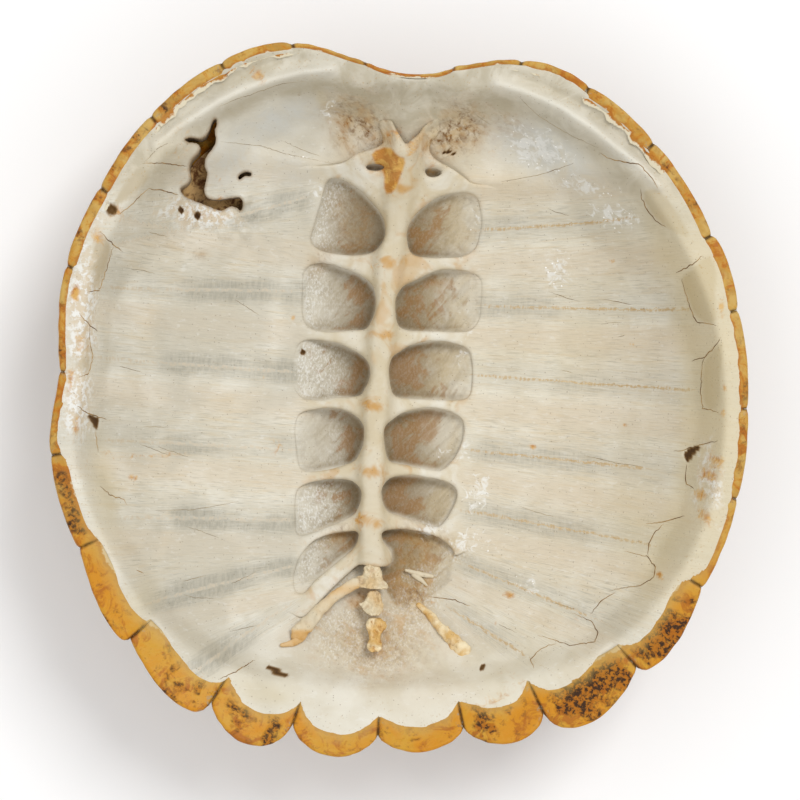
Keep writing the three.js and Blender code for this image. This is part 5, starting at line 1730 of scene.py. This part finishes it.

# Lines on the bone, drawn from the picture: cracks round the ends of the ribs and scratches.
crackLines = [
    [(-145.8, 75.5), (-142.2, 71.8), (-135.9, 67)],
    [(-139.8, 69.2), (-140.9, 63.7), (-142.6, 57.3), (-145.6, 47.6), (-152.3, 46.1)],
    [(-153.8, 36.3), (-148.9, 30.7), (-145.7, 28.5)],
    [(-148.9, 30.7), (-148.6, 22.9), (-147.1, 16.7), (-148.3, 8), (-153.7, 5.8)],
    [(-154, -6.4), (-148.6, -10.5), (-140.1, -13.5)],
    [(-145, -18.9), (-143.9, -29.6)],
    [(-141.8, -45.2), (-136.8, -49.6), (-130.7, -51.6), (-129.8, -54.1)],
    [(-123.2, -84.1), (-119.4, -86.2)],
    [(109.6, 106.3), (111.3, 101.3), (114.6, 96), (118.6, 91.8), (122.6, 89.1)],
    [(129.4, 67.9), (134, 70.7), (137.4, 73.5), (139.8, 76.1)],
    [(131.7, 65.2), (133.3, 60.3), (136.5, 52), (139.7, 44.9), (148.3, 42.8)],
    [(150.1, 38.3), (148.1, 33.7), (144.3, 27.9), (140.1, 26.2)],
    [(144, 27.9), (143.9, 20.4), (144, 12), (145, 3.6), (150.5, 1.8)],
    [(134.1, -17.7), (138.1, -17.2), (143.6, -14.8), (150.3, -11.6)],
    [(139.9, -23.9), (139.2, -27.7), (139.5, -33.5), (142.3, -35.1)],
    [(122, -53.7), (127.2, -52.7), (131.7, -51.7), (138.6, -48.3)],
    [(130.2, -53), (125.8, -58), (123.5, -64), (122.9, -69)],
    [(112.6, -67.4), (122.5, -69.4), (125.9, -73.5), (124.9, -78.4), (119.7, -83.1), (105.2, -86.6)],
    [(108.3, -87.1), (101.9, -91.7), (96.6, -98.3)],
    [(87.3, -98.1), (96.9, -101.5), (99.5, -106.6), (97.5, -110.5), (86.6, -113.2), (71.4, -109.6)],
    [(80.4, -112.7), (73, -116), (67.7, -120.9), (68.9, -124.4)],
    [(-81.9, -134.5), (-74.3, -130.9), (-64.8, -126)],
    [(-127.4, 108.3), (-115.9, 109.2), (-106.7, 109)],
    [(-123.7, 97.4), (-127, 94.2), (-131.4, 89.1), (-136.5, 83.9)],
    [(-124.1, 96.9), (-118.3, 97), (-110.5, 95.7)],
    [(90, 123.7), (95.5, 120.7), (108.5, 117.7), (115.4, 110.2), (117.4, 107.3)],
    [(18.4, -94.4), (31.7, -95.3), (39, -97.7)],
]
scratchLines = [
    [(50.1, 149), (60.5, 140.7), (76.6, 131.9), (90, 125.6)],
    [(-52.1, 152), (-63.7, 149.8), (-74.5, 145.4), (-85.3, 140.9), (-92.9, 136.9)],
    [(-114, 119.6), (-120.4, 115.4), (-124.9, 110.4), (-127.2, 108.4)],
    [(-92.4, 122), (-72.2, 122.2), (-59.3, 119.1), (-36.6, 115.9)],
    [(45.5, 110.2), (64.3, 114.1), (79.3, 119.2)],
    [(71.9, 58.6), (81.9, 55.5), (88.7, 53.8)],
    [(96, 55.7), (105, 54.3), (113, 52.8)],
    [(98.4, 42.9), (108.8, 44.5)],
    [(69, 98.7), (73.8, 96.7), (80.5, 95.2)],
    [(80.1, 20), (87.3, 18.5)],
    [(106.8, 36.8), (110.3, 38)],
    [(61.4, -48.1), (69.1, -50.6), (80.6, -53.2)],
    [(91.3, -21.5), (110.2, -25.3), (121.2, -26.2)],
    [(77.5, -93.8), (89.8, -96.5)],
    [(52.3, -105.5), (61.9, -109.2)],
    [(-125.3, -24.6), (-119.7, -26.7), (-109.2, -30.6)],
    [(-116.6, -25.8), (-100.8, -30.8)],
    [(-124.1, -16.1), (-110.7, -16.3)],
    [(-116.6, -56.7), (-99.2, -56.1), (-85.6, -53.6), (-74.4, -50.9)],
    [(-101.2, -64), (-93.9, -66.2), (-84.1, -69.6)],
    [(-101.4, -90.1), (-89.6, -87.1)],
    [(-78.2, -91.2), (-65.2, -84.7)],
    [(-101, -96.2), (-95.4, -97.7), (-84.3, -97.9)],
    [(-77.9, -113.4), (-63.7, -110.1)],
    [(-135.4, 12.3), (-125, 10)],
    [(-132.1, 59.3), (-126, 59.2), (-120.5, 57.9)],
    [(-82.4, 48), (-69.1, 40.5)],
    [(-124.1, 77.3), (-115.4, 76)],
    [(-62.7, 125.8), (-50.7, 121.3), (-41.6, 118.7)],
    [(30.8, 141.3), (39.2, 136.7)],
]
lineForm = {
    "crackWidth": 0.26,
    "scratchWidth": 0.15,
    "seamWidth": 0.17,
    "step": 1.4,
    "sides": 5,
    "sink": 0.06,
}


# Geometry node helpers: a tree with named inputs, and a modifier that uses it and is then taken off again.
def startModifier(name, inputs):
    group = bpy.data.node_groups.new(name, "GeometryNodeTree")
    group.interface.new_socket("Geometry", in_out="INPUT", socket_type="NodeSocketGeometry")
    for label, kind in inputs:
        group.interface.new_socket(label, in_out="INPUT", socket_type=kind)
    group.interface.new_socket("Geometry", in_out="OUTPUT", socket_type="NodeSocketGeometry")
    return group, group.nodes.new("NodeGroupInput").outputs, group.nodes.new("NodeGroupOutput")


def finishModifier(group, geometry, material, leave):
    realized = addNode(group, "GeometryNodeRealizeInstances", {0: geometry}).outputs[0]
    painted = addNode(group, "GeometryNodeSetMaterial",
                      {"Geometry": realized, "Material": material}).outputs[0]
    group.links.new(painted, leave.inputs[0])


def applied(piece, group, values):
    modifier = piece.modifiers.new(group.name, "NODES")
    modifier.node_group = group
    sockets = {item.name: item.identifier for item in group.interface.items_tree if item.in_out == "INPUT"}
    for label, value in values.items():
        modifier[sockets[label]] = value
    bpy.context.view_layer.update()
    done = bpy.data.meshes.new_from_object(piece.evaluated_get(bpy.context.evaluated_depsgraph_get()))
    piece.modifiers.remove(modifier)
    return done


# A line of edges becomes a thin tube that tapers to both ends.
tubeLines, entry, leave = startModifier("tapered_lines", [
    ("Width", "NodeSocketFloat"), ("Step", "NodeSocketFloat"), ("Sides", "NodeSocketInt"),
    ("Material", "NodeSocketMaterial")])
path = addNode(tubeLines, "GeometryNodeMeshToCurve", {"Mesh": entry["Geometry"]}).outputs[0]
path = addNode(tubeLines, "GeometryNodeResampleCurve", {"Curve": path, "Length": entry["Step"]},
               mode="LENGTH").outputs[0]
share = addNode(tubeLines, "GeometryNodeSplineParameter").outputs["Factor"]
swell = maths("SINE", times(share, math.pi))
noise = grained(addNode(tubeLines, "GeometryNodeInputPosition").outputs[0], 400.0, 2.0)
swell = times(maths("POWER", plus(swell, 0.06), 0.45), plus(noise, 0.5))
profile = addNode(tubeLines, "GeometryNodeCurvePrimitiveCircle",
                  {"Resolution": entry["Sides"], "Radius": entry["Width"]}).outputs[0]
tube = addNode(tubeLines, "GeometryNodeCurveToMesh",
               {"Curve": path, "Profile Curve": profile, "Scale": swell, "Fill Caps": True}).outputs[0]
finishModifier(tubeLines, tube, entry["Material"], leave)


def lineMaterial(name, dark, light):
    material, tree = startMaterial(name)
    place = objectPlace(tree)
    grain = useGroup(boneGrain, {"Place": place})
    colour = mixed(between(grained(place, 120.0, 4.0, 0.6), 0.38, 0.62), dark, light)
    finishMaterial(tree, colour, 0.8, raised(grain["Height"], 0.3, 0.0005))
    return material


# Lines over the bone's inside, wandering a little from the points they were drawn through.
def drawnLines(name, lines, width, material, wander, seed):
    draw = np.random.default_rng(seed)
    points, edges = [], []
    for line in lines:
        line = np.array(line, float)
        lengths = np.concatenate([[0], np.cumsum(np.hypot(*np.diff(line, axis=0).T))])
        spots = np.linspace(0, lengths[-1], max(3, int(lengths[-1] / 0.9)))
        x, y = np.interp(spots, lengths, line[:, 0]), np.interp(spots, lengths, line[:, 1])
        x, y = x + draw.normal(0, wander, len(x)), y + draw.normal(0, wander, len(y))
        first = len(points)
        points += np.stack([x, y, insideHeight(x, y) - lineForm["sink"]], 1).tolist()
        edges += [(i, i + 1) for i in range(first, len(points) - 1)]
    mesh = bpy.data.meshes.new(name + "_paths")
    mesh.from_pydata((np.array(points) * millimetre).tolist(), edges, [])
    paths = bpy.data.objects.new(name + "_paths", mesh)
    bpy.context.scene.collection.objects.link(paths)
    done = applied(paths, tubeLines, {"Width": width * millimetre, "Step": lineForm["step"] * millimetre,
                                      "Sides": lineForm["sides"], "Material": material})
    bpy.data.objects.remove(paths)
    done.name = name
    piece = bpy.data.objects.new(name, done)
    bpy.context.scene.collection.objects.link(piece)
    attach(piece, "root")
    return piece


leftSutures = []
for inner, tip in sutures["left"][:7]:
    inner, tip = np.array(inner, float), np.array(tip, float)
    if abs(inner[0]) < 60:
        inner = inner + (tip - inner) * 0.12
    leftSutures.append([inner, tip])
cracks = drawnLines("rib_end_cracks", crackLines, lineForm["crackWidth"],
                    lineMaterial("dark_crack_dirt", tone(104, 74, 34), tone(172, 138, 86)), 0.18, 51)
scratches = drawnLines("bone_scratches", scratchLines, lineForm["scratchWidth"],
                       lineMaterial("scratch_dirt", tone(120, 98, 66), tone(168, 150, 116)), 0.12, 52)
sutureLines = drawnLines("suture_lines", leftSutures, lineForm["seamWidth"],
                         lineMaterial("tan_suture_line", tone(188, 158, 108), tone(214, 192, 150)), 0.42, 53)

# Flat crumbs of dried salt on the bone, where the white patches are.
crumbForm = {"density": 90000.0, "small": 0.00018, "large": 0.0006, "flat": 0.45, "seed": 6}
crumbs, entry, leave = startModifier("salt_crumbs", [
    ("Density", "NodeSocketFloat"), ("Smallest", "NodeSocketFloat"), ("Largest", "NodeSocketFloat"),
    ("Flatness", "NodeSocketFloat"), ("Seed", "NodeSocketInt"), ("Material", "NodeSocketMaterial")])
salted = addNode(crumbs, "GeometryNodeInputNamedAttribute", {"Name": "salt"},
                 data_type="FLOAT").outputs["Attribute"]
where = between(salted, 0.28, 0.75)
spots = addNode(crumbs, "GeometryNodeDistributePointsOnFaces",
                {"Mesh": entry["Geometry"], "Density": times(entry["Density"], where), "Seed": entry["Seed"]})
sizes = addNode(crumbs, "FunctionNodeRandomValue",
                {2: entry["Smallest"], 3: entry["Largest"], 8: entry["Seed"]}, data_type="FLOAT").outputs[1]
flat = times(sizes, entry["Flatness"])
scale = joined(sizes, sizes, flat)
crumb = addNode(crumbs, "GeometryNodeMeshIcoSphere", {"Radius": 1.0, "Subdivisions": 1}).outputs[0]
strewn = addNode(crumbs, "GeometryNodeInstanceOnPoints",
                 {"Points": spots.outputs["Points"], "Instance": crumb,
                  "Rotation": spots.outputs["Rotation"], "Scale": scale}).outputs[0]
finishModifier(crumbs, strewn, entry["Material"], leave)


def saltMaterial():
    material, tree = startMaterial("dried_salt")
    place = objectPlace(tree)
    grain = useGroup(boneGrain, {"Place": place, "Pore Size": 1600.0})
    colour = mixed(between(grain["Mottle"], 0.3, 0.7), tone(232, 229, 220), tone(246, 245, 242))
    finishMaterial(tree, colour, 0.85, raised(grain["Height"], 0.4, 0.0005))
    return material


saltMesh = applied(bowl, crumbs, {
    "Density": crumbForm["density"],
    "Smallest": crumbForm["small"],
    "Largest": crumbForm["large"],
    "Flatness": crumbForm["flat"],
    "Seed": crumbForm["seed"],
    "Material": saltMaterial(),
})
saltMesh.name = "salt_crumbs"
saltCrumbs = bpy.data.objects.new("salt_crumbs", saltMesh)
bpy.context.scene.collection.objects.link(saltCrumbs)
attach(saltCrumbs, "root")
print("lines", [len(piece.data.polygons) for piece in (cracks, scratches, sutureLines)], "crumbs",
      len(saltMesh.polygons))
print("materials ready")

# Pale floor under the shell.
floorSize = 4.0
floorMesh = bpy.data.meshes.new("studio_floor")
floorMesh.from_pydata([(-floorSize, -floorSize, 0), (floorSize, -floorSize, 0), (floorSize, floorSize, 0),
                       (-floorSize, floorSize, 0)], [], [(0, 1, 2, 3)])
floor = bpy.data.objects.new("studio_floor", floorMesh)
bpy.context.scene.collection.objects.link(floor)
floorMaterial, floorTree = startMaterial("studio_floor_white")
finishMaterial(floorTree, (0.9, 0.9, 0.9, 1), 0.9)
floorMesh.materials.append(floorMaterial)

# Camera above the shell, as the picture was taken.
camera = bpy.data.objects.new("camera", bpy.data.cameras.new("camera"))
bpy.context.scene.collection.objects.link(camera)
bpy.context.scene.camera = camera
camera.data.lens = 132.6
camera.data.sensor_width = 36
camera.data.clip_end = 10
eye, aim, up = Vector((-0.060, 0, 1.480)), Vector((-0.0009, 0.0016, 0.08)), Vector((-0.0403, 0.9992, 0))
look = (eye - aim).normalized()
side = up.cross(look).normalized()
camera.matrix_world = Matrix((side, look.cross(side), look)).transposed().to_4x4()
camera.location = eye

# Soft studio light: large panels, the main one from the upper right.
studio = {
    "key": {"from": (1.3, 1.7, 3.3), "size": 1.5, "power": 72},
    "fill": {"from": (-2.4, -0.4, 3.2), "size": 3.2, "power": 26},
    "front": {"from": (0.2, -2.6, 3.0), "size": 2.8, "power": 18},
    "world": 0.62,
    "aim": (0, 0, 0.05),
}
for name in ("key", "fill", "front"):
    panel = bpy.data.lights.new(name, "AREA")
    panel.shape, panel.size, panel.energy = "SQUARE", studio[name]["size"], studio[name]["power"]
    light = bpy.data.objects.new(name, panel)
    bpy.context.scene.collection.objects.link(light)
    light.location = studio[name]["from"]
    toward = Vector(studio["aim"]) - Vector(studio[name]["from"])
    light.rotation_euler = toward.to_track_quat("-Z", "Y").to_euler()
world = bpy.data.worlds.new("studio")
bpy.context.scene.world = world
world.use_nodes = True
world.node_tree.nodes["Background"].inputs["Color"].default_value = (1, 1, 1, 1)
world.node_tree.nodes["Background"].inputs["Strength"].default_value = studio["world"]
bpy.context.scene.view_settings.view_transform = "Standard"
print("studio ready")
